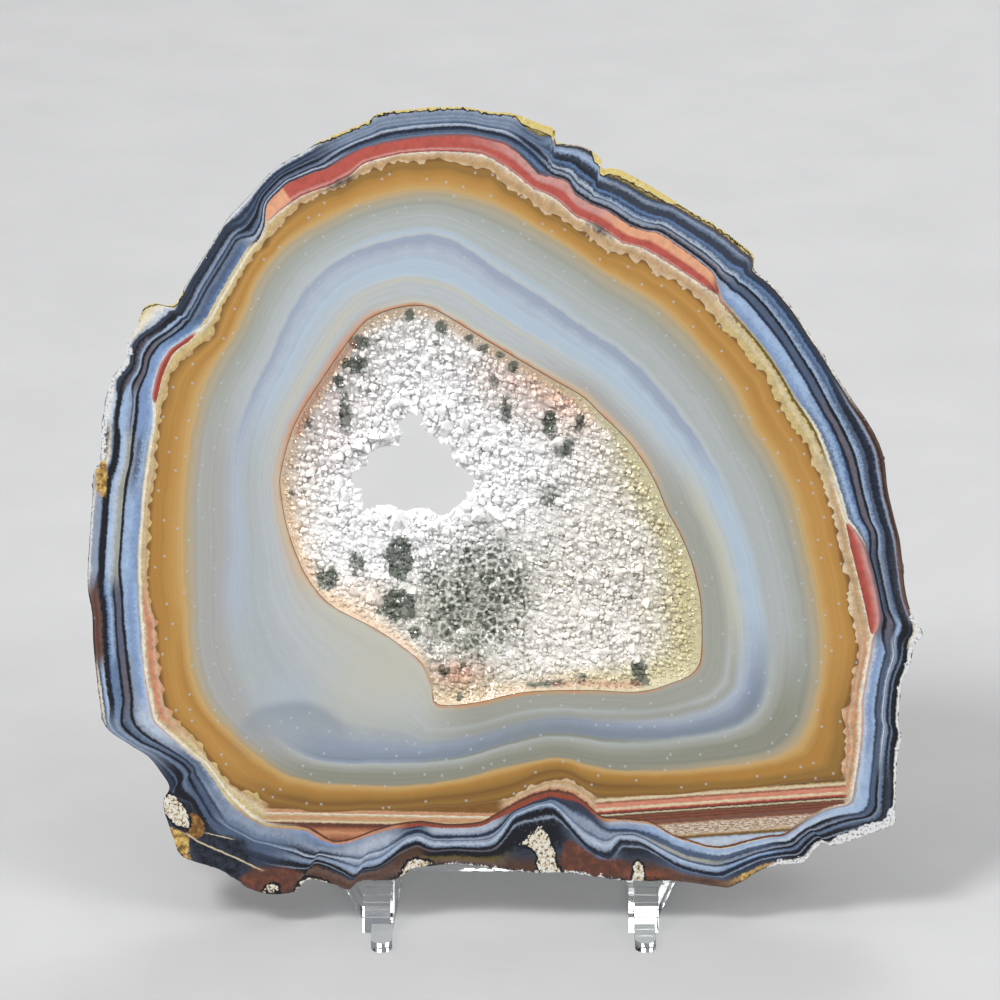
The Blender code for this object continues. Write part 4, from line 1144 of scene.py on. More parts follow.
def inner_colour(n, place, band, wobble):
    """Soft bands between the crust and the cavity, with their glows and motes."""
    share = n.math("DIVIDE", n.math("SUBTRACT", band, 3.0), 3.0)
    share = n.math("MULTIPLY_ADD", wobble, 0.022, share)
    inner = n.banded("inner_round", share)
    faint = n.noise(n.combine(n.math("MULTIPLY", share, 34.0), wobble), 1.0, 2.0, 0.6)
    inner = n.mix(1.0, inner, n.ramp(faint, ((0.3, 0.95), (0.5, 1.0), (0.7, 1.04))), "MULTIPLY")
    for name, strength, glow in (
            ("cream_glow", 0.85, "glow"), ("lilac_glow", 0.7, "lilac"), ("dark_glow", 0.35, "moss")):
        inner = n.mix(n.math("MULTIPLY", n.attribute(name), strength), inner, glow)
    crescent = n.step(n.attribute("crescent"), -0.2, 1.5)
    rise = n.math("MULTIPLY", n.step(n.attribute("level_left"), 17.0, 26.5), 0.6)
    inner = n.mix(n.math("MULTIPLY", crescent, rise), inner, "dusk")
    motes = n.step(n.cells(place, 0.3), 0.075, 0.04)
    inner = n.mix(n.math("MULTIPLY", motes, 0.6), inner, "mist")
    edge_gap = n.step(n.noise(place, 0.22, 2.0), 0.42, 0.6)
    edge = n.step(n.attribute("out_of_cavity"), 0.45, 0.1)
    edge = n.math("MULTIPLY", edge, n.math("MULTIPLY_ADD", edge_gap, 0.5, 0.15))
    edge = n.math("MULTIPLY", edge, n.attribute("front"))
    return n.mix(edge, inner, "apricot")


def crust_colour(n, place, band, fine_wobble):
    """The pale crust, and how far each place lies outside its scalloped edge in mm."""
    cells = n.cells(place, 0.85, "SMOOTH_F1")
    lobes = n.math("MULTIPLY_ADD", cells, -1.15, 0.46)
    lobes = n.math("MULTIPLY", lobes, n.attribute("lobed"))
    crust_at = n.math("ADD", n.attribute("out_of_crust"), lobes)
    share = n.math("SUBTRACT", n.math("MULTIPLY_ADD", fine_wobble, 0.5, band), 2.0)
    crust = n.banded("crust_round", share)
    grains = n.ramp(n.noise(place, 2.6, 3.0, 0.75), (
        (0.3, 0.7), (0.45, 0.95), (0.6, 1.03), (0.75, 1.2)))
    pits = n.ramp(cells, ((0.0, 1.12), (0.35, 1.0), (0.7, 0.82)))
    crust = n.mix(0.8, crust, grains, "MULTIPLY")
    return n.mix(0.8, crust, pits, "MULTIPLY"), crust_at


def with_waterlines(n, place, colour, fine_wobble):
    """Adds the level lines at the bottom, with the speckled lens on the right."""
    right_level = n.math("MULTIPLY_ADD", fine_wobble, 0.35, n.attribute("level_right"))
    right_lines = n.levels(right_level, *RIGHT_LEVELS)
    left_level = n.math("MULTIPLY_ADD", fine_wobble, 0.35, n.attribute("level_left"))
    left_lines = n.levels(left_level, *LEFT_LEVELS)
    stretched = n.stretched(place, (0.35, 1.6, 1.0))
    grain = n.ramp(n.noise(stretched, 2.2, 3.0, 0.75), ((0.3, 0.75), (0.5, 1.0), (0.7, 1.15)))
    right_lines = n.mix(0.8, right_lines, grain, "MULTIPLY")
    specks = n.ramp(n.noise(stretched, 4.0, 3.0, 0.8), (
        (0.36, "umber"), (0.44, "cocoa"), (0.52, "sand"), (0.62, "white")))
    speckled = n.math("MULTIPLY", n.step(right_level, 8.0, 7.6), n.step(right_level, 6.1, 6.4))
    right_lines = n.mix(n.math("MULTIPLY", speckled, 0.75), right_lines, specks)
    left_lines = n.mix(0.8, left_lines, grain, "MULTIPLY")
    colour = n.mix(n.attribute("water_right"), colour, right_lines)
    return n.mix(n.attribute("water_left"), colour, left_lines)


def with_jasper(n, place, band, teeth, colour, crust):
    """Adds the red jasper where it lies between the blue bands and the crust."""
    share = n.math("SUBTRACT", n.math("MULTIPLY_ADD", teeth, 0.12, band), 1.0)
    red = n.banded("red_round", share)
    mottle = n.ramp(n.noise(place, 0.8, 3.0, 0.7), ((0.3, 0.82), (0.5, 1.0), (0.7, 1.1)))
    red = n.mix(1.0, red, mottle, "MULTIPLY")
    red = n.mix(n.attribute("red_share"), crust, red)
    in_red = n.step(n.math("MULTIPLY_ADD", teeth, 0.1, band), 2.03, 1.97)
    return n.mix(in_red, colour, red)


def blue_colour(n, place, band, wobble, teeth):
    """The serrated blue bands next to the rim, streaked along and cloudy."""
    serrated = n.math("SUBTRACT", n.noise(place, 2.2, 3.0, 0.7), 0.5)
    share = n.math("MULTIPLY_ADD", teeth, 0.045, band)
    share = n.math("MULTIPLY_ADD", serrated, 0.06, share)
    share = n.math("MULTIPLY_ADD", wobble, 0.012, share)
    blue = n.banded("blue_round", share, even=True)
    streaks = n.noise(n.combine(n.math("MULTIPLY", share, 55.0), wobble), 1.0, 3.0, 0.7)
    shade = n.ramp(streaks, ((0.3, 0.72), (0.48, 0.97), (0.56, 1.0), (0.72, 1.22)))
    blue = n.mix(0.8, blue, shade, "MULTIPLY")
    cloud = n.ramp(n.noise(place, 0.7, 3.0, 0.65), ((0.3, 0.85), (0.5, 1.0), (0.7, 1.1)))
    return n.mix(0.8, blue, cloud, "MULTIPLY")


def agate_colour(n, place, band):
    """The polished face: soft inner bands, crust, jasper and blue bands."""
    wobble = n.math("SUBTRACT", n.noise(place, 0.4, 3.0), 0.5)
    fine_wobble = n.math("SUBTRACT", n.noise(place, 1.5, 3.0, 0.65), 0.5)
    teeth = n.math("SUBTRACT", n.noise(place, 1.1, 4.0, 0.75), 0.5)
    inner = inner_colour(n, place, band, wobble)
    crust, crust_at = crust_colour(n, place, band, fine_wobble)
    edged = n.mix(n.step(crust_at, -0.05, 0.05), inner, crust)
    hairline = n.math("MULTIPLY", n.line(n.math("ADD", crust_at, 0.12), 0.11), 0.75)
    colour = n.mix(hairline, edged, "umber")
    colour = with_waterlines(n, place, colour, fine_wobble)
    colour = n.mix(n.step(band, 3.02, 2.98), edged, colour)
    colour = with_jasper(n, place, band, teeth, colour, crust)
    blue = blue_colour(n, place, band, wobble, teeth)
    in_blue = n.step(n.math("MULTIPLY_ADD", fine_wobble, 0.3, n.attribute("out_of_blue")),
                     -0.05, 0.05)
    return n.mix(in_blue, colour, blue), fine_wobble


def with_inclusions(n, place, colour, fine_wobble):
    """Adds the smoky corner, the stains, the chalky spots and the two cracks."""
    ragged = n.math("MULTIPLY", fine_wobble, 0.9)
    clouds = n.noise(place, 0.9, 3.0, 0.7)

    def patch(colour, name, tones, softness):
        distance = n.math("ADD", n.attribute(name), ragged)
        fill = n.ramp(clouds, tones)
        return n.mix(n.step(distance, -softness, softness), colour, fill)

    colour = patch(colour, "dark", ((0.35, "ink"), (0.75, "charcoal")), 0.6)
    colour = patch(colour, "maroon", ((0.3, "brown"), (0.5, "maroon"), (0.8, "rust")), 0.4)
    colour = patch(colour, "ochre", ((0.35, "olive"), (0.5, "amber"), (0.65, "yellow")), 0.15)
    colour = patch(colour, "eye", ((0.35, "brown"), (0.5, "umber"), (0.65, "ochre")), 0.15)
    grit = n.noise(place, 1.9, 3.0, 0.85)
    distance = n.math("ADD", n.attribute("chalk"), ragged)
    colour = n.mix(n.step(distance, -0.42, -0.3), colour, "ink")
    speckled = n.ramp(grit, ((0.36, "ink"), (0.41, "umber"), (0.46, "cream"), (0.52, "chalk"),
                             (0.62, "white")))
    colour = n.mix(n.step(distance, -0.06, 0.02), colour, speckled)
    for name, half_width in (("crack", 0.13), ("hair", 0.08)):
        distance = n.math("MULTIPLY_ADD", fine_wobble, 0.3, n.attribute(name))
        share = n.math("MULTIPLY", n.line(distance, half_width), n.attribute(name + "_span"))
        colour = n.mix(n.math("MULTIPLY", share, 0.8), colour, "cream")
    return colour


def with_rind(n, place, colour, side):
    """Adds the frost and the yellow rind at the edge, and the rough skin of the rim."""
    crumb = n.ramp(n.noise(place, 2.6, 3.0, 0.85, solid=True), (
        (0.36, "charcoal"), (0.41, "haze"), (0.47, "white"), (0.6, "white"), (0.66, "cream")))
    breaks = n.math("SUBTRACT", n.noise(place, 0.9, 4.0, 0.75, solid=True), 0.5)
    frost = n.math("MULTIPLY_ADD", breaks, 3.2, n.attribute("frost"))
    colour = n.mix(n.step(frost, -0.05, 0.05), colour, crumb)
    yellow = n.math("MULTIPLY_ADD", breaks, 1.6, n.attribute("yellow_rind"))
    rind_tone = n.ramp(n.noise(place, 1.3, 3.0, 0.75, solid=True), (
        (0.3, "olive"), (0.4, "yellow"), (0.55, "yellow"), (0.65, "chalk")))
    colour = n.mix(n.step(yellow, -0.3, -0.18), colour, "ink")
    colour = n.mix(n.step(yellow, -0.05, 0.05), colour, rind_tone)

    skin = n.ramp(n.noise(place, 0.45, 4.0, 0.75, solid=True), (
        (0.3, "charcoal"), (0.42, "brown"), (0.5, "cocoa"), (0.58, "olive"), (0.68, "tan"),
        (0.78, "sand")))
    bleached = n.ramp(n.noise(place, 1.1, 3.0, 0.75, solid=True), (
        (0.35, "haze"), (0.45, "chalk"), (0.6, "white")))
    skin = n.mix(n.attribute("pale_rind"), skin, bleached)
    skin = n.mix(n.step(frost, 0.0, 0.2), skin, crumb)
    skin = n.mix(n.step(yellow, 0.0, 0.2), skin, rind_tone)
    return n.mix(side, colour, skin)


def agate_material():
    """Bands, waterlines and inclusions under a polish, with a rough rind at the rim."""
    n = Nodes("polished banded agate")
    place = n.attribute("slab_place", "Vector")
    side = n.attribute("rim_side")
    colour, fine_wobble = agate_colour(n, place, n.attribute("band"))
    colour = with_inclusions(n, place, colour, fine_wobble)
    colour = with_rind(n, place, colour, side)
    rough = n.math("MULTIPLY_ADD", side, 0.4, 0.45)
    relief = n.noise(place, 1.6, 3.0, 0.7, solid=True)
    bump = n.bump(n.math("MULTIPLY", relief, side), 0.8, 0.5)
    polish = n.math("SUBTRACT", 1.0, n.math("MULTIPLY", side, 0.95))
    n.finish(Base_Color=colour, Roughness=rough, Normal=bump, IOR=1.54, Coat_Weight=polish,
             Specular_IOR_Level=0.15, Coat_Roughness=0.03, Coat_IOR=1.54)
    return n.material


# Colour of the crystals: a soft patch is (tone, centre, radii, strength)
DRUSE_TONES = {
    "frost": (252, 252, 253),
    "milk": (238, 234, 227),
    "grey": (222, 217, 208),
    "green": (140, 144, 126),
    "olive": (206, 196, 152),
    "salmon": (232, 184, 152),
    "pink": (232, 204, 192),
    "tan": (222, 192, 156),
    "coral": (214, 142, 108),
    "smoke": (186, 184, 180),
    "chlorite": (36, 54, 52),
    "moss": (96, 104, 84),
}
DRUSE_PATCHES = (
    ("tan", (-30.5, 50), (3, 12), 0.7),
    ("tan", (-23, 40), (8, 3.5), 0.7),
    ("olive", (26, 40), (4.5, 15), 0.95),
    ("olive", (19, 61), (4, 6), 0.7),
    ("olive", (-6, 27.5), (8, 2.5), 0.8),
    ("olive", (16, 28.6), (12, 2), 0.6),
    ("salmon", (8, 69.5), (8, 4), 0.9),
    ("salmon", (1, 72.5), (5, 3), 0.5),
    ("coral", (-6.5, 30), (4, 1.8), 0.8),
    ("coral", (-26, 71), (2, 6), 0.4),
    ("pink", (-22, 68), (6, 10), 0.5),
    ("green", (-4, 41), (9.5, 9.5), 0.9),
    ("smoke", (-22, 75), (5, 5), 0.5),
    ("smoke", (2, 66), (5, 4), 0.4),
    ("grey", (13, 45), (12, 12), 0.5),
    ("frost", (-13, 60), (14, 13), 1.0),
    ("frost", (0, 59), (7, 8), 0.8),
    ("frost", (-12, 72), (8, 7), 0.7),
    ("frost", (-19, 50), (7, 6), 0.9),
    ("milk", (8, 35), (9, 6), 0.7),
)
# Dark green chlorite spots: centre, radii, strength
DARK_SPOTS = (
    ((-13.5, 81.3), (0.8, 0.9), 1.0), ((-9, 79.7), (1.1, 0.9), 0.9),
    ((-20.7, 77.5), (1.7, 1.0), 1.0), ((-21.5, 74.2), (1.9, 1.2), 1.0),
    ((-23.8, 72), (0.9, 1.0), 0.9), ((-22.8, 68), (1.0, 3.0), 0.7),
    ((-28, 65.9), (0.7, 0.9), 0.7), ((-5, 78), (0.7, 0.7), 0.9), ((-3, 76.5), (1.0, 0.7), 1.0),
    ((-0.5, 75.7), (0.8, 0.6), 0.9), ((1.3, 74), (0.9, 0.9), 0.9),
    ((-1.5, 72.3), (0.7, 0.9), 0.6), ((0.4, 68), (0.8, 2.4), 0.75),
    ((-5, 69.3), (1.6, 2.0), 0.35), ((6.5, 66), (1.1, 2.0), 1.0),
    ((10.8, 66.1), (0.7, 1.2), 1.0), ((9, 62.4), (1.1, 1.3), 1.0),
    ((6.8, 55.6), (1.8, 2.0), 0.6), ((-25.3, 43.6), (1.8, 1.7), 0.95),
    ((-21.2, 45.8), (1.2, 1.9), 0.75), ((-15, 46.6), (2.1, 3.2), 1.0),
    ((-15.3, 39.8), (2.7, 2.5), 1.0), ((-12.7, 36), (1.1, 0.9), 0.8),
    ((-17.8, 38.8), (1.0, 0.8), 0.6), ((-8.7, 30.3), (0.7, 0.8), 1.0),
    ((-5.8, 31.4), (0.7, 0.6), 1.0), ((-6.4, 26.5), (0.6, 0.5), 0.9),
    ((-4.7, 26.5), (0.5, 0.4), 0.9), ((6, 28.5), (3.4, 0.7), 0.9),
    ((11, 29.3), (0.8, 0.7), 0.7), ((19.3, 30.7), (1.3, 1.2), 1.0),
    ((19.5, 28.9), (1.4, 0.8), 1.0), ((18.5, 42), (0.7, 1.4), 0.5),
    ((21.7, 52.4), (0.7, 0.7), 0.5), ((26.6, 37.4), (0.5, 0.5), 0.5),
    ((-30.5, 56), (0.5, 0.6), 0.6),
)
CRYSTAL_PITCH = 0.68
CRYSTAL_SIDES = 6
CLEAR_OF_FACE = 0.06
HOLE_MARGIN = 0.4


def tone(name):
    return np.array(linear(DRUSE_TONES[name]))


def druse_colours(places, edge_distance):
    """Mean colour of the crystals and share of dark green, at each place."""
    colour = np.tile(tone("milk"), (len(places), 1))
    for name, centre, radii, strength in DRUSE_PATCHES:
        x, y = ((places - centre) / radii).T
        share = strength * np.exp(-(x * x + y * y) * 0.8)
        colour += (tone(name) - colour) * share[:, None]
    side = smooth_step(places[:, 0], 0.0, 16.0)
    reach = 2.0 + 4.0 * side * (1.0 - smooth_step(places[:, 1], 52.0, 66.0))
    edge = 0.8 * (1.0 - smooth_step(edge_distance / reach, 0.3, 1.1))
    margin = tone("tan") * (1.0 - side[:, None]) + tone("olive") * side[:, None]
    colour += (margin - colour) * edge[:, None]
    dark = np.zeros(len(places))
    for centre, radii, strength in DARK_SPOTS:
        x, y = ((places - centre) / radii).T
        y = np.where(y < 0.0, y * 0.88, y)
        spot = strength * (1.0 - smooth_step(np.hypot(x, y), 0.62, 1.25))
        dark = np.maximum(dark, spot)
    return colour, dark


class CrustSurface:
    """Front of the crust between its crystals, as depth at any place in the bowl."""

    def __init__(self, bowl):
        order = np.argsort(bowl.angles)
        self.angles = bowl.angles[order]
        steepest = bowl_depth(WALL_STEPS[1]) / WALL_STEPS[1]
        start = CRUST_EDGE_DEPTH / steepest
        edge = bowl.cavity_radii + (bowl.opening_radii - bowl.cavity_radii) * start
        self.edge_radii = edge[order] - CRUST_GAP
        self.cavity_radii = bowl.cavity_radii[order]
        self.opening_radii = bowl.opening_radii[order]
        self.hole_radii = bowl.hole_radii[order]

    def at(self, places):
        """Shares from edge to opening, distances inside the edge and outside the hole."""
        angles, radii = polar(places, HOLE_CENTRE)
        rows = []
        for values in (self.cavity_radii, self.opening_radii, self.edge_radii, self.hole_radii):
            rows.append(np.interp(angles, self.angles, values, period=FULL_TURN))
        cavity, opening, edge, hole = rows
        share = np.clip((cavity - radii) / (cavity - opening), 0.0, 1.0)
        return share, edge - radii, radii - hole

    def depth(self, places):
        share, _, past_hole = self.at(places)
        depth = CRUST_EDGE_DEPTH + CRUST_BOWL_DEPTH * (share * (2.0 - share)) ** 0.9
        lip = 1.0 - smooth_step(past_hole, 0.0, LIP)
        return depth + (CRUST_HOLE_DEPTH - depth) * lip * 0.85


def crystal(rng, seat, direction, width, height):
    """Corners and faces of one six-sided quartz point, its root sunk in the crust."""
    direction = Vector(direction).normalized()
    across = direction.orthogonal().normalized()
    across.rotate(Matrix.Rotation(rng.uniform(0.0, math.pi / 3), 3, direction))
    beside = direction.cross(across)
    root = Vector(seat) - direction * height * 0.55
    shoulder = height * rng.uniform(0.15, 0.5)
    corners = []
    for lift in (0.0, height * 0.55 + shoulder):
        for k in range(CRYSTAL_SIDES):
            angle = FULL_TURN * k / CRYSTAL_SIDES
            radius = width * (1.0 + 0.14 * math.cos(3.0 * angle + 0.7))
            offset = across * math.cos(angle) * radius + beside * math.sin(angle) * radius
            jog = rng.uniform(-0.1, 0.1) * height if lift else 0.0
            corners.append(root + direction * (lift + jog) + offset)
    tip = across * rng.uniform(-0.3, 0.3) * width + beside * rng.uniform(-0.3, 0.3) * width
    corners.append(Vector(seat) + direction * height + tip)
    corners.append(root)
    faces = []
    top, bottom = 2 * CRYSTAL_SIDES, 2 * CRYSTAL_SIDES + 1
    for k in range(CRYSTAL_SIDES):
        after = (k + 1) % CRYSTAL_SIDES
        low, low_after = k, after
        high, high_after = CRYSTAL_SIDES + k, CRYSTAL_SIDES + after
        faces.append((low, low_after, high_after))
        faces.append((low, high_after, high))
        faces.append((high, high_after, top))
        faces.append((low_after, low, bottom))
    return corners, faces


def druse_seats(surface, rng):
    """Places for crystals: a jittered grid inside the bowl."""
    seats = []
    row_height = CRYSTAL_PITCH * math.sqrt(3) / 2
    low = np.array(CAVITY_OUTLINE).min(axis=0)
    high = np.array(CAVITY_OUTLINE).max(axis=0)
    for row in range(int((high[1] - low[1]) / row_height)):
        for column in range(int((high[0] - low[0]) / CRYSTAL_PITCH) + 1):
            x = low[0] + (column + 0.5 * (row % 2)) * CRYSTAL_PITCH
            y = low[1] + row * row_height
            jitter = 0.42 * CRYSTAL_PITCH
            seats.append((x + rng.uniform(-jitter, jitter), y + rng.uniform(-jitter, jitter)))
    seats = np.array(seats)
    _, inside_edge, past_hole = surface.at(seats)
    return seats[(inside_edge > 0.2) & (past_hole > HOLE_MARGIN)]


def druse_base(surface):
    """The crust under the crystals: corners and faces of one closed shell."""
    rings = []
    stations = np.linspace(-math.pi, math.pi, CRUST_STATIONS, endpoint=False)
    heading = np.column_stack([np.cos(stations), np.sin(stations)])

    def around(values):
        return np.interp(stations, surface.angles, values, period=FULL_TURN)

    edge = around(surface.edge_radii)
    hole = around(surface.hole_radii)
    cavity = around(surface.cavity_radii)
    opening = around(surface.opening_radii)
    for row in range(CRUST_ROWS + 1):
        share = row / CRUST_ROWS
        points = HOLE_CENTRE + heading * (edge + (hole - edge) * share)[:, None]
        depth = surface.depth(points)
        for k, (x, y) in enumerate(points):
            place = Vector((x, y, 3.0)) * 0.55
            lump = noise.fractal(place, 0.9, 2.0, 3)
            depth[k] = max(CRUST_EDGE_DEPTH * 0.6, depth[k] - 0.45 * lump * min(1.0, 6 * share))
        if row == 0:
            depth[:] = CRUST_EDGE_DEPTH
        rings.append(np.column_stack([points, depth]))
    back = np.full(CRUST_STATIONS, SLAB_THICKNESS - LIP_BACK)
    rings.append(np.column_stack([HOLE_CENTRE + heading * (hole + 0.5)[:, None], back]))
    for share in (1.0, 0.6, 0.3, 0.12, 0.04):
        radii = cavity + (opening - cavity) * share - CRUST_GAP
        points = HOLE_CENTRE + heading * radii[:, None]
        if share == 1.0:
            rings.append(np.column_stack([points, back]))
        depth = np.full(CRUST_STATIONS, bowl_depth(share) - CRUST_GAP)
        rings.append(np.column_stack([points, depth]))
    quads = ring_faces(len(rings), CRUST_STATIONS)
    return np.vstack(rings), np.vstack([quads[:, (0, 1, 2)], quads[:, (0, 2, 3)]])


def druse(bowl, placement):
    """The crust of quartz crystals that lines the bowl, one mesh with its own base."""
    rng = random.Random(SEED)
    surface = CrustSurface(bowl)
    base, base_faces = druse_base(surface)
    seats = druse_seats(surface, rng)
    _, inside_edge, past_hole = surface.at(seats)
    step = 0.3
    slope_x = (surface.depth(seats + (step, 0)) - surface.depth(seats - (step, 0))) / (2 * step)
    slope_y = (surface.depth(seats + (0, step)) - surface.depth(seats - (0, step))) / (2 * step)
    depths = surface.depth(seats)
    corners = [base]
    faces = [base_faces]
    owners = [np.full(len(base), -1)]
    total = len(base)
    for k, (x, y) in enumerate(seats):
        tilt = Vector((slope_x[k] * 0.8, slope_y[k] * 0.8, -1.0)).normalized()
        lean = 0.42 + 0.2 * (past_hole[k] < 2.0)
        tilt += Vector((rng.gauss(0, lean), rng.gauss(0, lean), rng.gauss(0, 0.2)))
        tilt.z = min(tilt.z, -0.25)
        size = rng.lognormvariate(0.0, 0.34)
        size *= 1.0 + 0.7 * math.exp(-past_hole[k] / 3.0)
        size *= 0.5 + 0.5 * min(1.0, inside_edge[k] / 2.5)
        width = min(0.29 * size, past_hole[k] * 0.8)
        seat_depth = depths[k] + 0.1
        room = seat_depth - CLEAR_OF_FACE - width * 0.4
        height = min(0.7 * size, max(0.25, room))
        points, triangles = crystal(rng, (x, y, seat_depth), tilt, width, height)
        points = np.array(points)
        points[:, 2] = np.maximum(points[:, 2], CLEAR_OF_FACE)
        corners.append(points)
        faces.append(np.array(triangles) + total)
        owners.append(np.full(len(points), k))
        total += len(points)
    local = np.vstack(corners)
    owner = np.concatenate(owners)
    obj = mesh_from("quartz_druse", placed(local, placement), np.vstack(faces))
    places = local[:, :2].copy()
    places[owner >= 0] = seats[owner[owner >= 0]]
    _, edge_distance, _ = surface.at(places)
    colour, dark = druse_colours(places, edge_distance)
    shade_rng = np.random.default_rng(SEED)
    shade = shade_rng.normal(1.0, 0.08, len(seats) + 1)[owner]
    shade[owner < 0] = 0.85
    dark_noise = shade_rng.normal(0.0, 0.16, len(seats) + 1)[owner]
    set_attribute(obj.data, "crystal_colour", np.clip(colour * shade[:, None], 0.0, 0.97))
    set_attribute(obj.data, "chlorite", np.clip(dark + dark_noise * (dark > 0.05), 0.0, 1.0))
    set_attribute(obj.data, "slab_place", local)
    net = ellipse(places, (-3.5, 41), (8.5, 9))
    set_attribute(obj.data, "net", smooth_step(net, -0.5, 2.5))
    thread = path_distance(places, ((-29.5, 64.5), (-27.5, 69), (-24, 74.5), (-21.5, 77.5)))
    thread = np.minimum(thread, path_distance(places, ((7, 28.2), (14, 28.4), (20, 28.2))))
    set_attribute(obj.data, "thread", 1.0 - smooth_step(thread, 0.2, 0.7))
    return obj


def druse_material():
    """Small milky crystals, dark green where chlorite shows through them."""
    n = Nodes("quartz crystal druse")
    place = n.attribute("slab_place", "Vector")
    colour = n.attribute("crystal_colour", "Color")
    cloud = n.ramp(n.noise(place, 1.3, 3.0), ((0.3, 0.86), (0.55, 1.0), (0.75, 1.08)))
    colour = n.mix(1.0, colour, cloud, "MULTIPLY")
    gaps = n.step(n.cells(place, 0.85, "DISTANCE_TO_EDGE"), 0.06, 0.26)
    patchy = n.step(n.noise(place, 0.35, 2.0), 0.3, 0.52)
    gaps = n.math("MULTIPLY", gaps, patchy)
    green = n.mix(n.noise(place, 1.8, 2.0), (*tone("chlorite"), 1.0), (*tone("moss"), 1.0))
    colour = n.mix(n.math("MULTIPLY", n.math("MULTIPLY", gaps, n.attribute("net")), 0.88),
                   colour, green)
    fleck = n.math("SUBTRACT", n.noise(place, 1.5, 2.0), 0.5)
    dark = n.math("MULTIPLY_ADD", fleck, 0.6, n.attribute("chlorite"))
    colour = n.mix(n.math("MULTIPLY", n.step(dark, 0.25, 0.8), 0.9), colour, green)
    colour = n.mix(n.math("MULTIPLY", n.attribute("thread"), 0.6), colour, "salmon")
    bump = n.bump(n.cells(place, 3.4, "F1"), 0.35, 0.12)
    n.finish(Base_Color=colour, Roughness=0.16, IOR=1.54, Specular_IOR_Level=0.9,
             Subsurface_Weight=0.35, Subsurface_Radius=(1.0, 1.0, 1.0),
             Subsurface_Scale=0.0006, Normal=bump)
    return n.material


def acrylic_material():
    """Clear moulded acrylic with faint waves; lamps shine through it."""
    n = Nodes("clear moulded acrylic")
    place = n.add("ShaderNodeTexCoord").outputs["Object"]
    waves = n.noise(place, 260.0, 2.0, solid=True)
    scratches = n.noise(place, 2200.0, 4.0, 0.7, solid=True)
    rough = n.ramp(scratches, ((0.5, 0.0), (0.75, 0.12)))
    n.finish(Base_Color=(0.98, 0.99, 0.99, 1.0), Roughness=rough, IOR=1.49,
             Transmission_Weight=1.0, Normal=n.bump(waves, 0.2, 0.15))
    ray = n.add("ShaderNodeLightPath")
    lamp_ray = n.math("MAXIMUM", ray.outputs["Is Shadow Ray"], ray.outputs["Is Diffuse Ray"])
    clear = n.add("ShaderNodeBsdfTransparent")
    clear.inputs["Color"].default_value = (0.9, 0.92, 0.92, 1.0)
    both = n.add("ShaderNodeMixShader")
    n.plug(both.inputs[0], lamp_ray)
    n.plug(both.inputs[1], n.shader.outputs[0])
    n.plug(both.inputs[2], clear.outputs[0])
    output = n.tree.nodes["Material Output"]
    n.plug(output.inputs["Surface"], both.outputs[0])
    return n.material


def assign(obj, material):
    obj.data.materials.clear()
    obj.data.materials.append(material)


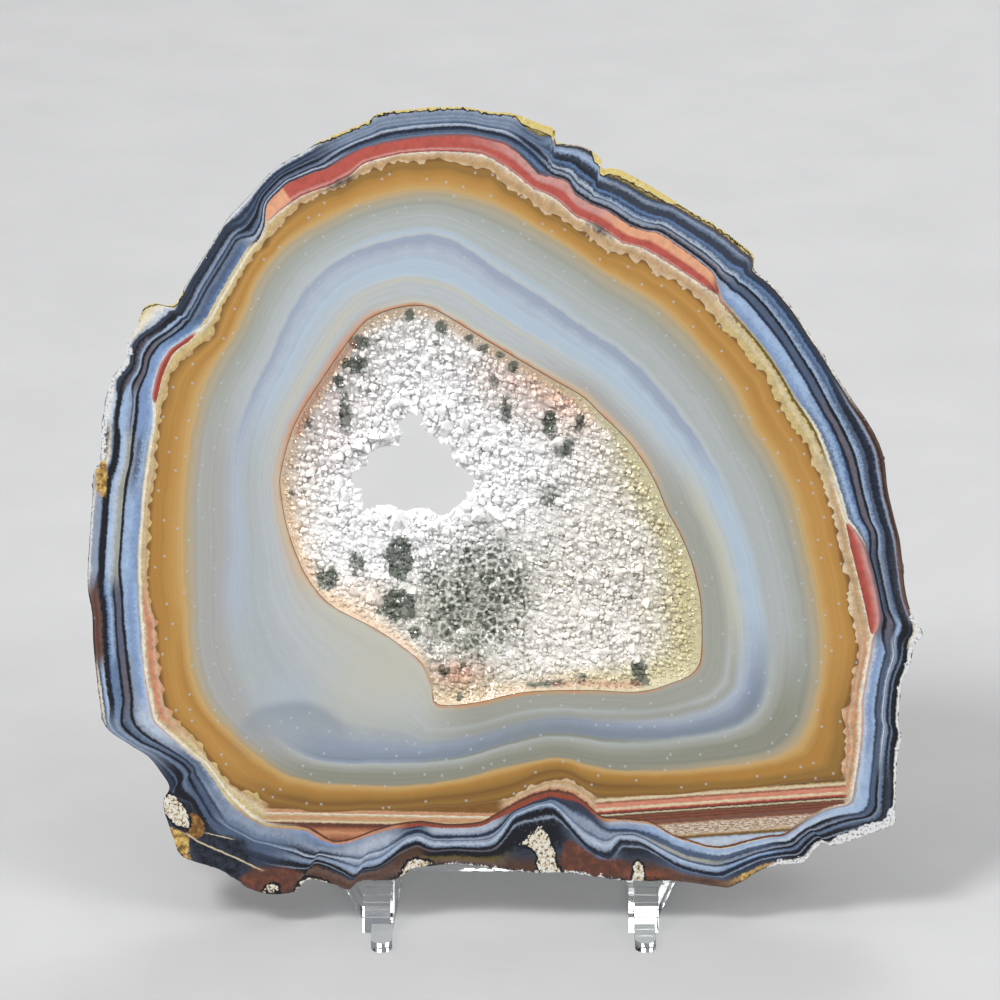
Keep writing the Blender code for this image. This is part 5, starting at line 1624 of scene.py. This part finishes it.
def studio():
    """Pale floor, soft lights and the sky of a softly lit room."""
    builder = bmesh.new()
    bmesh.ops.create_grid(builder, x_segments=24, y_segments=24, size=FLOOR_HALF_SIZE,
                          matrix=Matrix.Translation((0.0, 0.0, -FLOOR_GAP)))
    mesh = bpy.data.meshes.new("studio_floor")
    builder.to_mesh(mesh)
    builder.free()
    floor = bpy.data.objects.new("studio_floor", mesh)
    bpy.context.scene.collection.objects.link(floor)
    n = Nodes("pale matt floor")
    place = n.add("ShaderNodeTexCoord").outputs["Object"]
    tint = n.ramp(n.noise(place, 40.0, 3.0), ((0.3, 0.38), (0.7, 0.4)))
    n.finish(Base_Color=tint, Roughness=0.7)
    assign(floor, n.material)

    def area_light(name, place, size, power):
        lamp = bpy.data.lights.new(name, "AREA")
        lamp.size = size
        lamp.energy = power
        obj = bpy.data.objects.new(name, lamp)
        obj.location = place
        aim = Vector(LAMP_TARGET) - Vector(place)
        obj.rotation_euler = aim.to_track_quat("-Z", "Y").to_euler()
        bpy.context.scene.collection.objects.link(obj)

    for lamp_values in SOFTBOXES:
        area_light(*lamp_values)

    world = bpy.data.worlds.new("soft studio")
    world.use_nodes = True
    tree = world.node_tree
    background = tree.nodes["Background"]
    background.inputs["Strength"].default_value = 1.0
    heading = tree.nodes.new("ShaderNodeTexCoord")
    height = tree.nodes.new("ShaderNodeSeparateXYZ")
    ceiling = tree.nodes.new("ShaderNodeValToRGB")
    stops = ceiling.color_ramp.elements
    stops.new(0.5)
    for stop, (position, light) in zip(stops, ROOM_TONES):
        stop.position = position
        stop.color = light
    tree.links.new(heading.outputs["Generated"], height.inputs[0])
    tree.links.new(height.outputs["Z"], ceiling.inputs["Fac"])
    tree.links.new(ceiling.outputs["Color"], background.inputs["Color"])
    bpy.context.scene.world = world
    bpy.context.scene.view_settings.view_transform = "Standard"


def camera(placement):
    """Square-on to the slab's face, as the photograph was taken."""
    lens = bpy.data.cameras.new("photo_camera")
    lens.sensor_width = SENSOR
    lens.lens = SENSOR * VIEW_DISTANCE / (IMAGE_SIZE / PIXELS_PER_MM)
    lens.clip_end = VIEW_LIMIT
    obj = bpy.data.objects.new("photo_camera", lens)
    target = placed(np.array([(*VIEW_CENTRE, 0.0)]), placement)[0]
    place = placed(np.array([(*VIEW_CENTRE, -VIEW_DISTANCE)]), placement)[0]
    obj.location = place
    aim = Vector(target) - Vector(place)
    obj.rotation_euler = aim.to_track_quat("-Z", "Y").to_euler()
    bpy.context.scene.collection.objects.link(obj)
    bpy.context.scene.camera = obj


def main():
    placement = slab_placement()
    studio()
    camera(placement)
    outlines = Outlines()
    bowl = Bowl(outlines.points(outlines.contours[-1]))
    slab = agate_slab(outlines, bowl, placement)
    assign(slab, agate_material())
    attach(slab, "root")
    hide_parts("agate_slab")
    crystals = druse(bowl, placement)
    assign(crystals, druse_material())
    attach(crystals, "root")
    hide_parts("druse_crust")
    acrylic = acrylic_material()
    for name in ("stand_left_leg", "stand_right_leg", "stand_crossbar"):
        assign(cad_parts[name], acrylic)


main()
